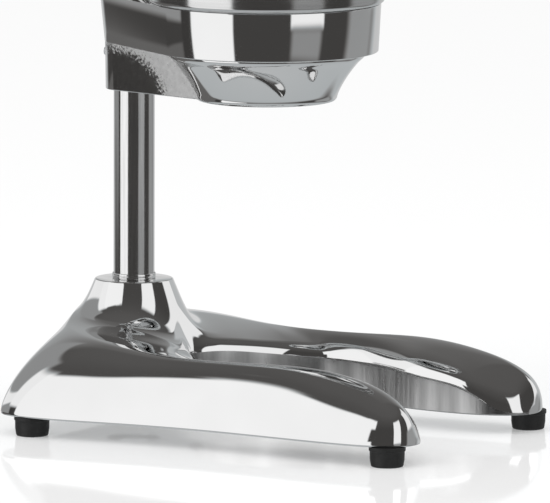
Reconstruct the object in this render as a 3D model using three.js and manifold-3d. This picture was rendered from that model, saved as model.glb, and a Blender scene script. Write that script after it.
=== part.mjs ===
// A lever citrus juice press. Lengths are in millimetres and +Z is up.
// The press is laid out round the axis of its column, with the legs of the base towards -Y.
// The last lines move it so that its origin is under the middle of its outline.
// It is drawn open: the lever stands up and the press head is at the top of its stroke.
import * as THREE from "three";
import { mergeVertices } from "three/addons/utils/BufferGeometryUtils.js";
import Module from "manifold-3d";

const wasm = await Module();
wasm.setup();

// Clearances, and how far a cut runs past the face that it opens.
const seatGap = 0.3;
const fitGap = 0.15;
const runningGap = 0.1;
const sectorGap = 1.5;
const overrun = 3;

// Faces round a large, a middling and a small circle.
const largeSides = 40;
const sides = 24;
const smallSides = 12;

// The base casting: two legs, a dome behind them and a cone that holds the column.
const baseHalfWidth = 82;
const coneRim = 4.7;
const baseFront = 191;
const baseUnderside = 9.5;
const baseEdge = 1.2;
const baseCrest = 50;
const coneTop = 69.5;
const coneTopWall = 9;
const coneRound = 1.2;
const coneHeight = 30.9;
const coneFlare = 12.8;
const socketWeb = 5.5;
const boltRecessDepth = 9;
const boltRecessRadius = 13;

// Feet and their screws.
const footRadius = 8.8;
const footWaist = 8.3;
const footBottomRadius = 7.9;
const footLip = 2;
const footRound = 1;
const footFrontSideInset = 11.7;
const footFrontEndInset = 9.8;
const footRearSideInset = 9.2;
const footRearEndInset = 22.5;
const footRecessRadius = 5;
const footRecessDepth = 4.5;
const footScrewRadius = 2.5;
const footScrewReach = 6;
const footScrewHeadRadius = 4.4;
const footScrewHeadHeight = 2.6;

// The column, its rack and its keyway.
const columnRadius = 10;
const columnChamfer = 1;
const toothModule = 2;
const rackTipDepth = 1;
const backlash = 0.2;
const pressureAngle = (20 * Math.PI) / 180;
const dedendumShare = 1.25;
const keyWidth = 4;
const keyDepth = 2.5;
const footRingWidth = 0.7;
const footRingHeight = 2.4;

// The bolt that holds the column from below.
const columnBoltRadius = 5;
const columnBoltReach = 22;
const columnBoltHeadRadius = 8.5;
const columnBoltHeadHeight = 5.5;
const columnWasherRadius = 11;
const columnWasherThickness = 1.6;

// The bracket: a collar round the column, a tapered band, a ring and a funnel under it.
const ringTop = 209;
const ringHeight = 23.5;
const ringTopRadius = 55.5;
const ringTaper = 1.3;
const ringWall = 4;
const collarTopWall = 6.7;
const collarBottomWall = 4.2;
const gussetHeight = 23;
const gussetColumnWall = 4.6;
const gussetFrontRadius = 28.6;
const funnelHeight = 24;
const funnelStep = 6.2;
const funnelWall = 3.6;
const bracketScrewDrop = 5.5;
const setScrewRadius = 2.5;
const setScrewProud = 1.5;

// The strainer bowl and the ribbed cone that stands in it.
const bowlOverhang = 1.8;
const bowlColumnGap = 6.8;
const bowlRise = 27;
const bowlSink = 13.5;
const bowlWall = 1.2;
const bowlBeadRadius = 1.4;
const bowlShoulderRound = 2.6;
const bowlCupGap = 0.9;
const bowlCupRound = 3;
const bowlSlotWidth = 2.6;
const bowlSlotLength = 11;
const bowlSlots = 20;
const juiceGap = 9.1;
const reamerTipHeight = 40.5;
const reamerFlangeHeight = 3;
const reamerFlangeLip = 3.5;
const reamerRibs = 10;
const reamerRibDepth = 3.4;
const reamerRibSteps = 6;
const reamerValleyPower = 0.8;

// The stroke of the press head, and where its pivot is when it is pressed down.
const stroke = 68;
const pivotRise = 97;
const sectorTeeth = 34;
const toothedSectorTeeth = 15;
const leverOpenAngle = (100 * Math.PI) / 180;

// The press head, measured from the lever's pivot.
const sleeveWall = 4.75;
const sleeveUp = 34;
const sleeveDown = 42;
const bushWall = 2;
const upperBushLength = 11.4;
const lowerBushLength = 19.4;
const cheekWall = 7.6;
const leverSideGap = 0.4;
const noseRadius = 15;
const noseDown = 44;
const noseHeight = 19.5;
const pivotBossRadius = 10;
const pivotBossProud = 1.6;
const guideScrewDrop = 10;
const guideScrewRadius = 3;
const guideScrewProud = 2.2;

// The dome that presses the fruit, and its bolt.
const bellInset = 7.3;
const bellPressedRise = 7;
const bellWall = 3;
const bellSkirt = 7;
const bellBossRadius = 13;
const bellBossHeight = 6;
const bellBoltRadius = 4;
const bellBoltReach = 15;
const bellBoltHeadRadius = 6.5;
const bellBoltHeadHeight = 4.6;
const bellWasherRadius = 9;
const bellWasherThickness = 1.4;

// Stops on the column.
const stopWall = 5.5;
const stopHeight = 11;
const bufferHeight = 2.6;
const stopScrewRadius = 2.5;
const capLip = 3.5;
const capHeight = 6.5;
const capScrewRadius = 3;
const capScrewReach = 14;
const capScrewHeadRadius = 5;
const capScrewHeadHeight = 2.6;
const capRecessDepth = 3;

// The lever, with its hub on the pivot.
const leverHalfThickness = 6;
const leverHubRadius = 17;
const leverHubEnd = (56 * Math.PI) / 180;
const leverArmRoot = 11;
const leverArmTip = 7;
const leverArmLength = 96;
const leverTangRadius = 5;
const leverTangTail = 6;
const pinRadius = 5;
const pinTail = 0.9;
const pinWasherRadius = 9;
const pinWasherThickness = 1.4;
const pinNutRadius = 8;
const pinNutHeight = 5.5;
const pinNutDomeRadius = 6.2;
const pinNutDomeHeight = 5.6;
const gripRadius = 14;
const gripLength = 94.4;
const ferruleLength = 9;
const ferruleRadius = 10.5;
const endNutRadius = 9.5;
const endNutHeight = 8.5;

// Derived sizes and places.
const coneTopRadius = columnRadius + coneTopWall;
const coneFootRadius = coneTopRadius + coneFlare;
const baseRear = coneFootRadius + coneRim;
const socketFoot = baseUnderside + boltRecessDepth + socketWeb;
const rackTip = columnRadius - rackTipDepth;
const ringBottom = ringTop - ringHeight;
const ringBottomRadius = ringTopRadius - ringTaper;
const gussetFoot = ringBottom - gussetHeight;
const gussetColumnRadius = columnRadius + gussetColumnWall;
const collarTopRadius = columnRadius + collarTopWall;
const funnelFoot = ringBottom - funnelHeight;
const funnelMouthRadius = ringBottomRadius - funnelStep;
const bracketFoot = Math.min(gussetFoot, funnelFoot);
const bracketScrewHeight = ringBottom - bracketScrewDrop;
const bowlRadius = ringTopRadius + bowlOverhang;
const reach = columnRadius + bowlColumnGap + bowlRadius;
const bowlTop = ringTop + bowlRise;
const bowlFloor = ringTop - bowlSink;
const bowlCupRadius = ringTopRadius - ringWall - bowlCupGap;
const reamerRadius = bowlCupRadius - juiceGap - reamerFlangeLip;
const bellRadius = bowlRadius - bellInset;
const pivotPressed = ringTop + pivotRise;
const pivotOpen = pivotPressed + stroke;
const pitchRadius = (toothModule * sectorTeeth) / 2;
const rackPitchLine = rackTip - toothModule;
const rackRoot = rackPitchLine - dedendumShare * toothModule;
const pivotY = -(rackPitchLine + pitchRadius);
const rackPitch = Math.PI * toothModule;
const headTopOpen = pivotOpen + sleeveUp;
const headFootPressed = pivotPressed - sleeveDown;
const columnFoot = socketFoot + seatGap;
const columnTop = headTopOpen + seatGap;
const bushRadius = columnRadius + runningGap + bushWall;
const sleeveRadius = bushRadius + fitGap + sleeveWall;
const slotHalfWidth = leverHalfThickness + leverSideGap;
const cheekHalfWidth = slotHalfWidth + cheekWall;
const leverBushRadius = pinRadius + bushWall;
const stopRadius = columnRadius + stopWall;
const capRadius = columnRadius + capLip;

const material = (color, roughness, metalness) =>
  new THREE.MeshStandardMaterial({ color, roughness, metalness });
const chrome = material(0xd6d8da, 0.06, 1);
const polishedSteel = material(0xc4c6c8, 0.16, 1);
const brushedSteel = material(0xb8b9ba, 0.32, 1);
const castAluminium = material(0xbfc0c1, 0.35, 1);
const zincSteel = material(0xa9abad, 0.3, 1);
const brass = material(0xb89a5a, 0.3, 1);
const blackRubber = material(0x141414, 0.75, 0);
const blackPlastic = material(0x17171a, 0.35, 0);

// Geometry helpers.

// Any closed geometry, with its shared corners merged, as a solid that can be joined and cut.
function solid(geometry) {
  const bare = new THREE.BufferGeometry();
  const source = geometry.index ? geometry.toNonIndexed() : geometry;
  bare.setAttribute("position", source.getAttribute("position").clone());
  const merged = mergeVertices(bare, 1e-4);
  const index = merged.index.array;
  const at = merged.attributes.position;
  const kept = [];
  let volume = 0;
  const a = new THREE.Vector3();
  const b = new THREE.Vector3();
  const c = new THREE.Vector3();
  for (let i = 0; i < index.length; i += 3) {
    const [p, q, r] = [index[i], index[i + 1], index[i + 2]];
    if (p === q || q === r || r === p) continue;
    kept.push(p, q, r);
    a.fromBufferAttribute(at, p);
    b.fromBufferAttribute(at, q);
    c.fromBufferAttribute(at, r);
    volume += a.dot(b.cross(c));
  }
  if (volume < 0) kept.reverse();
  return new wasm.Manifold(
    new wasm.Mesh({ numProp: 3, vertProperties: at.array, triVerts: new Uint32Array(kept) }),
  );
}

// A solid as a geometry that a mesh can hold.
function shapeOf(body) {
  const made = body.getMesh();
  const positions = new Float32Array(made.numVert * 3);
  for (let i = 0; i < made.numVert; i++) {
    positions.set(made.vertProperties.subarray(i * made.numProp, i * made.numProp + 3), i * 3);
  }
  const geometry = new THREE.BufferGeometry();
  geometry.setAttribute("position", new THREE.BufferAttribute(positions, 3));
  geometry.setIndex(new THREE.BufferAttribute(made.triVerts, 1));
  geometry.computeVertexNormals();
  return geometry;
}

// A profile of [radius, height] turned round the Z axis.
function turned(profile, count) {
  const points = profile.map(([radius, height]) => new THREE.Vector2(radius, height));
  return solid(new THREE.LatheGeometry(points, count).rotateX(Math.PI / 2));
}

// A disc or rod along Z, from a bottom to a top height.
function rod(radius, bottom, top, count = sides) {
  return turned([[0, bottom], [radius, bottom], [radius, top], [0, top]], count);
}

// A washer or tube along Z.
function tube(inner, outer, bottom, top, count = sides) {
  return turned([[inner, bottom], [outer, bottom], [outer, top], [inner, top], [inner, bottom]], count);
}

// A rod along X, Y or Z between two places on that axis, through a centre given on the other two.
function rodAlong(axis, radius, from, to, centre, count = smallSides) {
  const geometry = new THREE.CylinderGeometry(radius, radius, to - from, count);
  geometry.translate(0, (from + to) / 2, 0);
  if (axis === "x") geometry.rotateZ(-Math.PI / 2);
  if (axis === "z") geometry.rotateX(Math.PI / 2);
  return solid(geometry.translate(...centre));
}

function box(low, high) {
  const size = high.map((value, i) => value - low[i]);
  const centre = high.map((value, i) => (value + low[i]) / 2);
  return solid(new THREE.BoxGeometry(...size).translate(...centre));
}

// An outline of [y, z] points, filled from -halfWidth to +halfWidth along X.
function sideProfile(outline, halfWidth) {
  const shape = new THREE.Shape(outline.map(([y, z]) => new THREE.Vector2(y, z)));
  const geometry = new THREE.ExtrudeGeometry(shape, { depth: 2 * halfWidth, bevelEnabled: false });
  const turn = new THREE.Matrix4().makeBasis(
    new THREE.Vector3(0, 1, 0),
    new THREE.Vector3(0, 0, 1),
    new THREE.Vector3(1, 0, 0),
  );
  return solid(geometry.applyMatrix4(turn).translate(-halfWidth, 0, 0));
}

// Closed rings of points, all with the same count, joined in order and closed at both ends.
function lofted(rings) {
  const positions = [];
  const put = (...points) => points.forEach((p) => positions.push(p.x, p.y, p.z));
  const count = rings[0].length;
  for (let k = 0; k + 1 < rings.length; k++) {
    for (let i = 0; i < count; i++) {
      const j = (i + 1) % count;
      put(rings[k][i], rings[k + 1][i], rings[k + 1][j]);
      put(rings[k][i], rings[k + 1][j], rings[k][j]);
    }
  }
  for (const [ring, last] of [[rings[0], false], [rings[rings.length - 1], true]]) {
    const middle = ring.reduce((sum, p) => sum.add(p), new THREE.Vector3()).divideScalar(count);
    for (let i = 0; i < count; i++) {
      const j = (i + 1) % count;
      if (last) put(ring[j], ring[i], middle);
      else put(ring[i], ring[j], middle);
    }
  }
  const geometry = new THREE.BufferGeometry();
  geometry.setAttribute("position", new THREE.Float32BufferAttribute(positions, 3));
  return solid(geometry);
}

// A hexagonal prism along Z, its radius measured to the corners.
const hexagon = (radius, bottom, top) => rod(radius, bottom, top, 6);

function place(body, x, y, z = 0) {
  return body.translate([x, y, z]);
}

const press = new THREE.Group();
const rootGroup = new THREE.Group();
const headGroup = new THREE.Group();
const leverGroup = new THREE.Group();
headGroup.position.z = pivotOpen;
leverGroup.position.y = pivotY;
headGroup.add(leverGroup);
press.add(rootGroup, headGroup);

function piece(group, name, body, look) {
  const mesh = new THREE.Mesh(shapeOf(body), look);
  mesh.name = name;
  group.add(mesh);
  return mesh;
}

// The base.
// Sections across the base, from the middle of the rear edge to the tip of a leg. Each has its outer
// edge, its crest and its inner edge, as shares of the half width, of the length from the rear edge
// and of the crest height. Fullness is 1 for a straight flank and 2 for a round one.
const baseSectionShares = [
  { outer: [0.0, 0.0], crest: [0.0, 0.046, 1.0], inner: [0.0, 0.305, 0.69], fullness: 1.5 },
  { outer: [0.317, 0.002], crest: [0.22, 0.057, 1.0], inner: [0.061, 0.312, 0.69], fullness: 1.4 },
  { outer: [0.61, 0.006], crest: [0.415, 0.088, 0.99], inner: [0.14, 0.33, 0.7], fullness: 1.42 },
  { outer: [0.83, 0.013], crest: [0.55, 0.125, 0.978], inner: [0.23, 0.355, 0.7], fullness: 1.48 },
  { outer: [0.93, 0.026], crest: [0.61, 0.152, 0.966], inner: [0.297, 0.378, 0.695], fullness: 1.5 },
  { outer: [0.98, 0.06], crest: [0.66, 0.185, 0.95], inner: [0.362, 0.398, 0.685], fullness: 1.5 },
  { outer: [1.0, 0.121], crest: [0.707, 0.24, 0.915], inner: [0.451, 0.426, 0.664], fullness: 1.5 },
  { outer: [0.984, 0.209], crest: [0.713, 0.31, 0.874], inner: [0.537, 0.462, 0.634], fullness: 1.5 },
  { outer: [0.946, 0.31], crest: [0.707, 0.393, 0.842], inner: [0.598, 0.501, 0.612], fullness: 1.55 },
  { outer: [0.92, 0.424], crest: [0.701, 0.49, 0.832], inner: [0.628, 0.552, 0.596], fullness: 1.55 },
  { outer: [0.917, 0.538], crest: [0.701, 0.587, 0.838], inner: [0.604, 0.618, 0.58], fullness: 1.55 },
  { outer: [0.935, 0.644], crest: [0.701, 0.67, 0.848], inner: [0.549, 0.684, 0.556], fullness: 1.55 },
  { outer: [0.955, 0.741], crest: [0.707, 0.747, 0.842], inner: [0.5, 0.749, 0.522], fullness: 1.55 },
  { outer: [0.967, 0.82], crest: [0.713, 0.815, 0.806], inner: [0.476, 0.811, 0.484], fullness: 1.55 },
  { outer: [0.97, 0.89], crest: [0.723, 0.875, 0.742], inner: [0.473, 0.864, 0.44], fullness: 1.6 },
  { outer: [0.959, 0.938], crest: [0.737, 0.923, 0.655], inner: [0.488, 0.908, 0.35], fullness: 1.75 },
  { outer: [0.927, 0.971], crest: [0.741, 0.958, 0.55], inner: [0.515, 0.941, 0.258], fullness: 1.9 },
  { outer: [0.872, 0.991], crest: [0.744, 0.982, 0.44], inner: [0.551, 0.967, 0.218], fullness: 2 },
  { outer: [0.809, 0.998], crest: [0.741, 0.994, 0.33], inner: [0.598, 0.986, 0.214], fullness: 2 },
  { outer: [0.744, 1.0], crest: [0.726, 0.9995, 0.224], inner: [0.659, 0.996, 0.214], fullness: 2 },
];
const outerSteps = 7;
const innerSteps = 4;

function basePoint([widthShare, lengthShare, heightShare = 0], side) {
  return new THREE.Vector3(
    side * widthShare * baseHalfWidth,
    baseRear - lengthShare * (baseRear + baseFront),
    heightShare * baseCrest,
  );
}

// One section's ring of points: up the flank, over the crest, down to the slot, and back underneath.
function baseRing({ outer, crest, inner, fullness }, side) {
  const rim = basePoint(outer, side);
  const top = basePoint(crest, side);
  const lip = basePoint(inner, side);
  const foot = baseUnderside + baseEdge;
  const ring = [new THREE.Vector3(rim.x, rim.y, baseUnderside)];
  for (let i = 0; i <= outerSteps; i++) {
    const turn = (i / outerSteps) * (Math.PI / 2);
    const inward = 1 - Math.cos(turn) ** (2 / fullness);
    const upward = Math.sin(turn) ** (2 / fullness);
    const point = rim.clone().lerp(top, inward);
    point.z = foot + upward * (top.z - foot);
    ring.push(point);
  }
  for (let i = 1; i <= innerSteps; i++) {
    const inward = i / innerSteps;
    const point = top.clone().lerp(lip, inward);
    point.z = top.z - inward * inward * (top.z - lip.z);
    ring.push(point);
  }
  ring.push(new THREE.Vector3(lip.x, lip.y, baseUnderside));
  return ring;
}

function baseCasting() {
  const half = baseSectionShares;
  const rings = [
    ...half.slice(1).reverse().map((section) => baseRing(section, -1)),
    ...half.map((section) => baseRing(section, 1)),
  ];
  const cone = turned(
    [
      [0, socketFoot],
      [coneFootRadius, socketFoot],
      [coneFootRadius, coneTop - coneHeight],
      [coneTopRadius + coneRound / 2, coneTop - coneRound],
      [coneTopRadius - coneRound, coneTop],
      [0, coneTop],
    ],
    largeSides,
  );
  const socket = rod(columnRadius + fitGap, socketFoot, coneTop + overrun);
  const boltHole = rod(columnBoltRadius + seatGap, baseUnderside, socketFoot + overrun, smallSides);
  const recess = rod(boltRecessRadius, baseUnderside - overrun, baseUnderside + boltRecessDepth);
  let body = lofted(rings).add(cone).subtract(socket).subtract(boltHole).subtract(recess);
  for (const { x, y } of footPlaces()) {
    const hole = rod(
      footScrewRadius + fitGap,
      baseUnderside - overrun,
      baseUnderside + footScrewReach + seatGap,
      smallSides,
    );
    body = body.subtract(place(hole, x, y));
  }
  return body;
}

function footPlaces() {
  const footFrontX = baseHalfWidth - footFrontSideInset;
  const footFrontY = baseFront - footFrontEndInset;
  const footRearX = baseHalfWidth - footRearSideInset;
  const footRearY = baseRear - footRearEndInset;
  return [
    { name: "front_left", x: -footFrontX, y: -footFrontY },
    { name: "front_right", x: footFrontX, y: -footFrontY },
    { name: "rear_left", x: -footRearX, y: footRearY },
    { name: "rear_right", x: footRearX, y: footRearY },
  ];
}

function foot() {
  const body = turned(
    [
      [0, 0],
      [footBottomRadius - footRound, 0],
      [footBottomRadius, footRound],
      [footWaist, (baseUnderside - footLip) / 2],
      [footWaist, baseUnderside - footLip],
      [footRadius, baseUnderside - footLip + footRound],
      [footRadius, baseUnderside],
      [0, baseUnderside],
    ],
    sides,
  );
  const recess = rod(footRecessRadius, -overrun, footRecessDepth, smallSides);
  const hole = rod(footScrewRadius + fitGap, 0, baseUnderside + overrun, smallSides);
  return body.subtract(recess).subtract(hole);
}

function footScrew() {
  const headFoot = footRecessDepth - seatGap - footScrewHeadHeight;
  const head = rod(footScrewHeadRadius, headFoot, footRecessDepth - seatGap, smallSides);
  const shank = rod(
    footScrewRadius,
    headFoot + footScrewHeadHeight / 2,
    baseUnderside + footScrewReach,
    smallSides,
  );
  const drive = hexagon(footScrewRadius, headFoot - overrun, headFoot + footScrewHeadHeight / 2 - seatGap);
  return head.subtract(drive).add(shank);
}

piece(rootGroup, "base_casting", baseCasting(), chrome);
for (const { name, x, y } of footPlaces()) {
  piece(rootGroup, "foot_" + name, place(foot(), x, y), blackRubber);
  piece(rootGroup, "foot_screw_" + name, place(footScrew(), x, y), zincSteel);
}

// The column with its rack and keyway, and what fastens and ends it.

// The space between the teeth of the rack, from its first tooth to its last.
function rackCut() {
  const flank = Math.tan(pressureAngle);
  const halfTooth = rackPitch / 4 - backlash / 2;
  const tipHalf = halfTooth - (rackTip - rackPitchLine) * flank;
  const rootHalf = halfTooth + (rackPitchLine - rackRoot) * flank;
  const toothCount = Math.round(stroke / rackPitch) + 4;
  const outline = [];
  for (let k = 1; k >= 2 - toothCount; k--) {
    const middle = pivotOpen + k * rackPitch;
    outline.push([-rackRoot, middle + rootHalf], [-rackTip, middle + tipHalf]);
    outline.push([-rackTip, middle - tipHalf], [-rackRoot, middle - rootHalf]);
  }
  const low = outline[outline.length - 1][1];
  outline.push([-rackRoot, low - rackPitch / 2 + rootHalf]);
  const rampFoot = low - rackPitch / 2 + rootHalf - (columnRadius - rackRoot);
  outline.push([-columnRadius, rampFoot], [-columnRadius - overrun, rampFoot]);
  const high = pivotOpen + 2 * rackPitch - rootHalf;
  outline.push([-columnRadius - overrun, high + columnRadius - rackRoot]);
  outline.push([-columnRadius, high + columnRadius - rackRoot], [-rackRoot, high]);
  return sideProfile(outline, columnRadius + overrun);
}

function columnBody() {
  const shaft = turned(
    [
      [0, columnFoot],
      [columnRadius - columnChamfer, columnFoot],
      [columnRadius, columnFoot + columnChamfer],
      [columnRadius, columnTop - columnChamfer],
      [columnRadius - columnChamfer, columnTop],
      [0, columnTop],
    ],
    sides,
  );
  const keyway = box(
    [-keyWidth / 2, columnRadius - keyDepth, headFootPressed],
    [keyWidth / 2, columnRadius + overrun, columnTop + overrun],
  );
  const boltHole = rod(
    columnBoltRadius + fitGap,
    columnFoot - overrun,
    columnFoot + columnBoltReach + seatGap,
    smallSides,
  );
  const capHole = rod(
    capScrewRadius + fitGap,
    columnTop - capScrewReach - seatGap,
    columnTop + overrun,
    smallSides,
  );
  return shaft.subtract(rackCut()).subtract(keyway).subtract(boltHole).subtract(capHole);
}

piece(rootGroup, "column", columnBody(), polishedSteel);
piece(
  rootGroup,
  "column_foot_ring",
  turned(
    [
      [columnRadius + fitGap, coneTop + seatGap],
      [columnRadius + footRingWidth, coneTop + seatGap],
      [columnRadius + footRingWidth - fitGap, coneTop + seatGap + footRingHeight],
      [columnRadius + fitGap, coneTop + seatGap + footRingHeight],
      [columnRadius + fitGap, coneTop + seatGap],
    ],
    sides,
  ),
  polishedSteel,
);

const washerTop = baseUnderside + boltRecessDepth - seatGap;
const washerFoot = washerTop - columnWasherThickness;
const boltHeadTop = washerFoot - seatGap;
piece(
  rootGroup,
  "column_washer",
  tube(columnBoltRadius + fitGap, columnWasherRadius, washerFoot, washerTop, smallSides),
  zincSteel,
);
piece(
  rootGroup,
  "column_bolt",
  hexagon(columnBoltHeadRadius, boltHeadTop - columnBoltHeadHeight, boltHeadTop).add(
    rod(columnBoltRadius, boltHeadTop - columnBoltHeadHeight / 2, columnFoot + columnBoltReach, smallSides),
  ),
  zincSteel,
);

// The bracket.

// The outline round two circles on the Y axis: a rear one at the column, a front one at the ring.
function collarOutline(rearRadius, frontRadius, height) {
  const lean = Math.asin((frontRadius - rearRadius) / reach);
  const points = [];
  const rearSteps = 8;
  const frontSteps = 28;
  for (let i = 0; i <= rearSteps; i++) {
    const angle = lean + (i / rearSteps) * (Math.PI - 2 * lean);
    points.push(new THREE.Vector3(rearRadius * Math.cos(angle), rearRadius * Math.sin(angle), height));
  }
  for (let i = 0; i <= frontSteps; i++) {
    const angle = Math.PI - lean + (i / frontSteps) * (Math.PI + 2 * lean);
    points.push(
      new THREE.Vector3(frontRadius * Math.cos(angle), -reach + frontRadius * Math.sin(angle), height),
    );
  }
  return points;
}

// The concave outside of the funnel, as shares of its mouth radius and its height, from the bottom.
const funnelShares = [
  [0.69, 0.0],
  [0.712, 0.045],
  [0.727, 0.15],
  [0.777, 0.354],
  [0.844, 0.563],
  [0.925, 0.771],
  [1.0, 0.854],
  [1.0, 1.0],
];

function bracket() {
  const band = lofted([
    collarOutline(columnRadius + fitGap + collarBottomWall, ringBottomRadius, ringBottom),
    collarOutline(collarTopRadius, ringTopRadius, ringTop),
  ]);
  const gusset = lofted([
    collarOutline(columnRadius + collarBottomWall, gussetFrontRadius, gussetFoot),
    collarOutline(gussetColumnRadius, gussetFrontRadius, ringBottom + overrun),
  ]);
  const outside = funnelShares.map(([radiusShare, heightShare]) => [
    radiusShare * funnelMouthRadius,
    funnelFoot + heightShare * funnelHeight,
  ]);
  const funnel = place(turned([[0, funnelFoot], ...outside, [0, ringBottom]], largeSides), 0, -reach);
  const inside = funnelShares.map(([radiusShare, heightShare]) => [
    radiusShare * funnelMouthRadius - funnelWall,
    funnelFoot + heightShare * funnelHeight + (heightShare ? funnelWall : 0),
  ]);
  const seatRadius = ringTopRadius - ringWall;
  const bore = place(
    turned(
      [
        [0, bracketFoot - overrun],
        [inside[0][0], bracketFoot - overrun],
        ...inside,
        [seatRadius, bowlFloor - bowlCupGap],
        [seatRadius, ringTop + overrun],
        [0, ringTop + overrun],
      ],
      largeSides,
    ),
    0,
    -reach,
  );
  const columnBore = rod(columnRadius + fitGap, bracketFoot - overrun, ringTop + overrun);
  const screwBore = rodAlong(
    "y",
    setScrewRadius + fitGap,
    columnRadius - overrun,
    collarTopRadius + overrun,
    [0, 0, bracketScrewHeight],
  );
  return band.add(gusset).add(funnel).subtract(bore).subtract(columnBore).subtract(screwBore);
}

// A set screw along Y at the back of the column, with a hexagon socket in its outer end.
function setScrew(radius, from, to, height) {
  const drive = rodAlong("y", radius / 2, to - radius, to + overrun, [0, 0, height], 6);
  return rodAlong("y", radius, from, to, [0, 0, height]).subtract(drive);
}

piece(rootGroup, "funnel_bracket", bracket(), chrome);
piece(
  rootGroup,
  "bracket_set_screw",
  setScrew(setScrewRadius, columnRadius + seatGap, gussetColumnRadius + setScrewProud, bracketScrewHeight),
  zincSteel,
);

// The bowl: a wall with a beaded rim, a shoulder on the ring, and a cup with holes in its floor.
function bowl() {
  const shoulder = ringTop + seatGap;
  const arc = (centreRadius, centreHeight, radius, from, to, count) =>
    Array.from({ length: count + 1 }, (_, i) => {
      const angle = from + ((to - from) * i) / count;
      return [centreRadius + radius * Math.cos(angle), centreHeight + radius * Math.sin(angle)];
    });
  const quarter = Math.PI / 2;
  const round = bowlShoulderRound;
  const cup = bowlCupRound;
  const profile = [
    [0, bowlFloor],
    ...arc(bowlCupRadius - cup, bowlFloor + cup, cup, -quarter, 0, 3),
    [bowlCupRadius, shoulder],
    ...arc(bowlRadius - round, shoulder + round, round, -quarter, 0, 3),
    ...arc(bowlRadius, bowlTop - bowlBeadRadius, bowlBeadRadius, -quarter, 2 * quarter, 4),
    [bowlRadius - bowlWall, shoulder + round],
    ...arc(bowlRadius - round, shoulder + round, round - bowlWall, 0, -quarter, 2),
    [bowlCupRadius - bowlWall, shoulder + bowlWall],
    ...arc(bowlCupRadius - cup, bowlFloor + cup, cup - bowlWall, 0, -quarter, 2),
    [0, bowlFloor + bowlWall],
  ];
  let body = turned(profile, largeSides);
  const slotOuter = bowlCupRadius - cup - bowlWall / 2;
  for (let i = 0; i < bowlSlots; i++) {
    const slot = box(
      [slotOuter - bowlSlotLength, -bowlSlotWidth / 2, bowlFloor - overrun],
      [slotOuter, bowlSlotWidth / 2, bowlFloor + bowlWall + overrun],
    );
    body = body.subtract(slot.rotate([0, 0, (i / bowlSlots) * 360]));
  }
  return place(body, 0, -reach);
}

// The ribbed cone: rings that swell out into ribs, from a round flange to a round tip.
const reamerShares = [
  [0.0, 0.86, 0],
  [0.08, 0.84, 0.6],
  [0.25, 0.78, 1],
  [0.45, 0.68, 1],
  [0.65, 0.53, 1],
  [0.82, 0.36, 0.8],
  [0.94, 0.19, 0.4],
  [1.0, 0.06, 0],
];

function reamer() {
  const flangeFoot = bowlFloor + bowlWall + seatGap;
  const flangeTop = flangeFoot + reamerFlangeHeight;
  const flange = rod(reamerRadius + reamerFlangeLip, flangeFoot, flangeTop, largeSides);
  const around = reamerRibs * reamerRibSteps;
  const rings = reamerShares.map(([heightShare, radiusShare, ribShare]) => {
    const height = flangeTop - seatGap + heightShare * (reamerTipHeight - reamerFlangeHeight);
    return Array.from({ length: around }, (_, i) => {
      const angle = (i / around) * 2 * Math.PI;
      const valley = Math.abs(Math.sin((angle * reamerRibs) / 2)) ** reamerValleyPower;
      const swell = ribShare * (reamerRibDepth / 2 - valley * reamerRibDepth);
      const radius = radiusShare * reamerRadius + swell;
      return new THREE.Vector3(radius * Math.cos(angle), radius * Math.sin(angle), height);
    });
  });
  return place(flange.add(lofted(rings)), 0, -reach);
}

piece(rootGroup, "strainer_bowl", bowl(), brushedSteel);
piece(rootGroup, "reamer_cone", reamer(), castAluminium);

// The stops on the column.
const bufferTop = headFootPressed - seatGap;
const collarTop = bufferTop - bufferHeight - seatGap;
const collarFoot = collarTop - stopHeight;
const stopScrewHeight = (collarTop + collarFoot) / 2;
const stopBore = rodAlong(
  "y",
  stopScrewRadius + fitGap,
  columnRadius - overrun,
  stopRadius + overrun,
  [0, 0, stopScrewHeight],
);
piece(
  rootGroup,
  "stop_collar",
  tube(columnRadius + fitGap, stopRadius, collarFoot, collarTop).subtract(stopBore),
  polishedSteel,
);
piece(
  rootGroup,
  "stop_collar_screw",
  setScrew(stopScrewRadius, columnRadius + seatGap, stopRadius - seatGap, stopScrewHeight),
  zincSteel,
);
piece(
  rootGroup,
  "stop_buffer",
  tube(columnRadius + fitGap, stopRadius - bushWall, collarTop + seatGap, bufferTop),
  blackRubber,
);

const capFoot = columnTop + seatGap;
const capTop = capFoot + capHeight;
piece(
  rootGroup,
  "column_cap",
  turned(
    [
      [0, capFoot],
      [capRadius, capFoot],
      [capRadius, capFoot + capHeight / 2],
      [capRadius - capHeight / 6, capTop - capHeight / 5],
      [capRadius - capHeight / 2, capTop],
      [0, capTop],
    ],
    sides,
  )
    .subtract(rod(capScrewHeadRadius + seatGap, capTop - capRecessDepth, capTop + overrun, smallSides))
    .subtract(rod(capScrewRadius + fitGap, capFoot - overrun, capTop, smallSides)),
  chrome,
);
const capScrewSeat = capTop - capRecessDepth + seatGap;
piece(
  rootGroup,
  "column_cap_screw",
  rod(capScrewHeadRadius, capScrewSeat, capScrewSeat + capScrewHeadHeight, smallSides)
    .subtract(hexagon(capScrewRadius, capScrewSeat + capScrewHeadHeight / 2, capTop + overrun))
    .add(
      rod(
        capScrewRadius,
        columnTop - capScrewReach,
        capScrewSeat + capScrewHeadHeight / 2 - seatGap,
        smallSides,
      ),
    ),
  zincSteel,
);

// The press head. From here on heights are measured from the lever's pivot.
const leverPressed = leverOpenAngle - stroke / pitchRadius;
const tipRadius = pitchRadius + toothModule;
const slotRadius = tipRadius + sectorGap;

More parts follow.
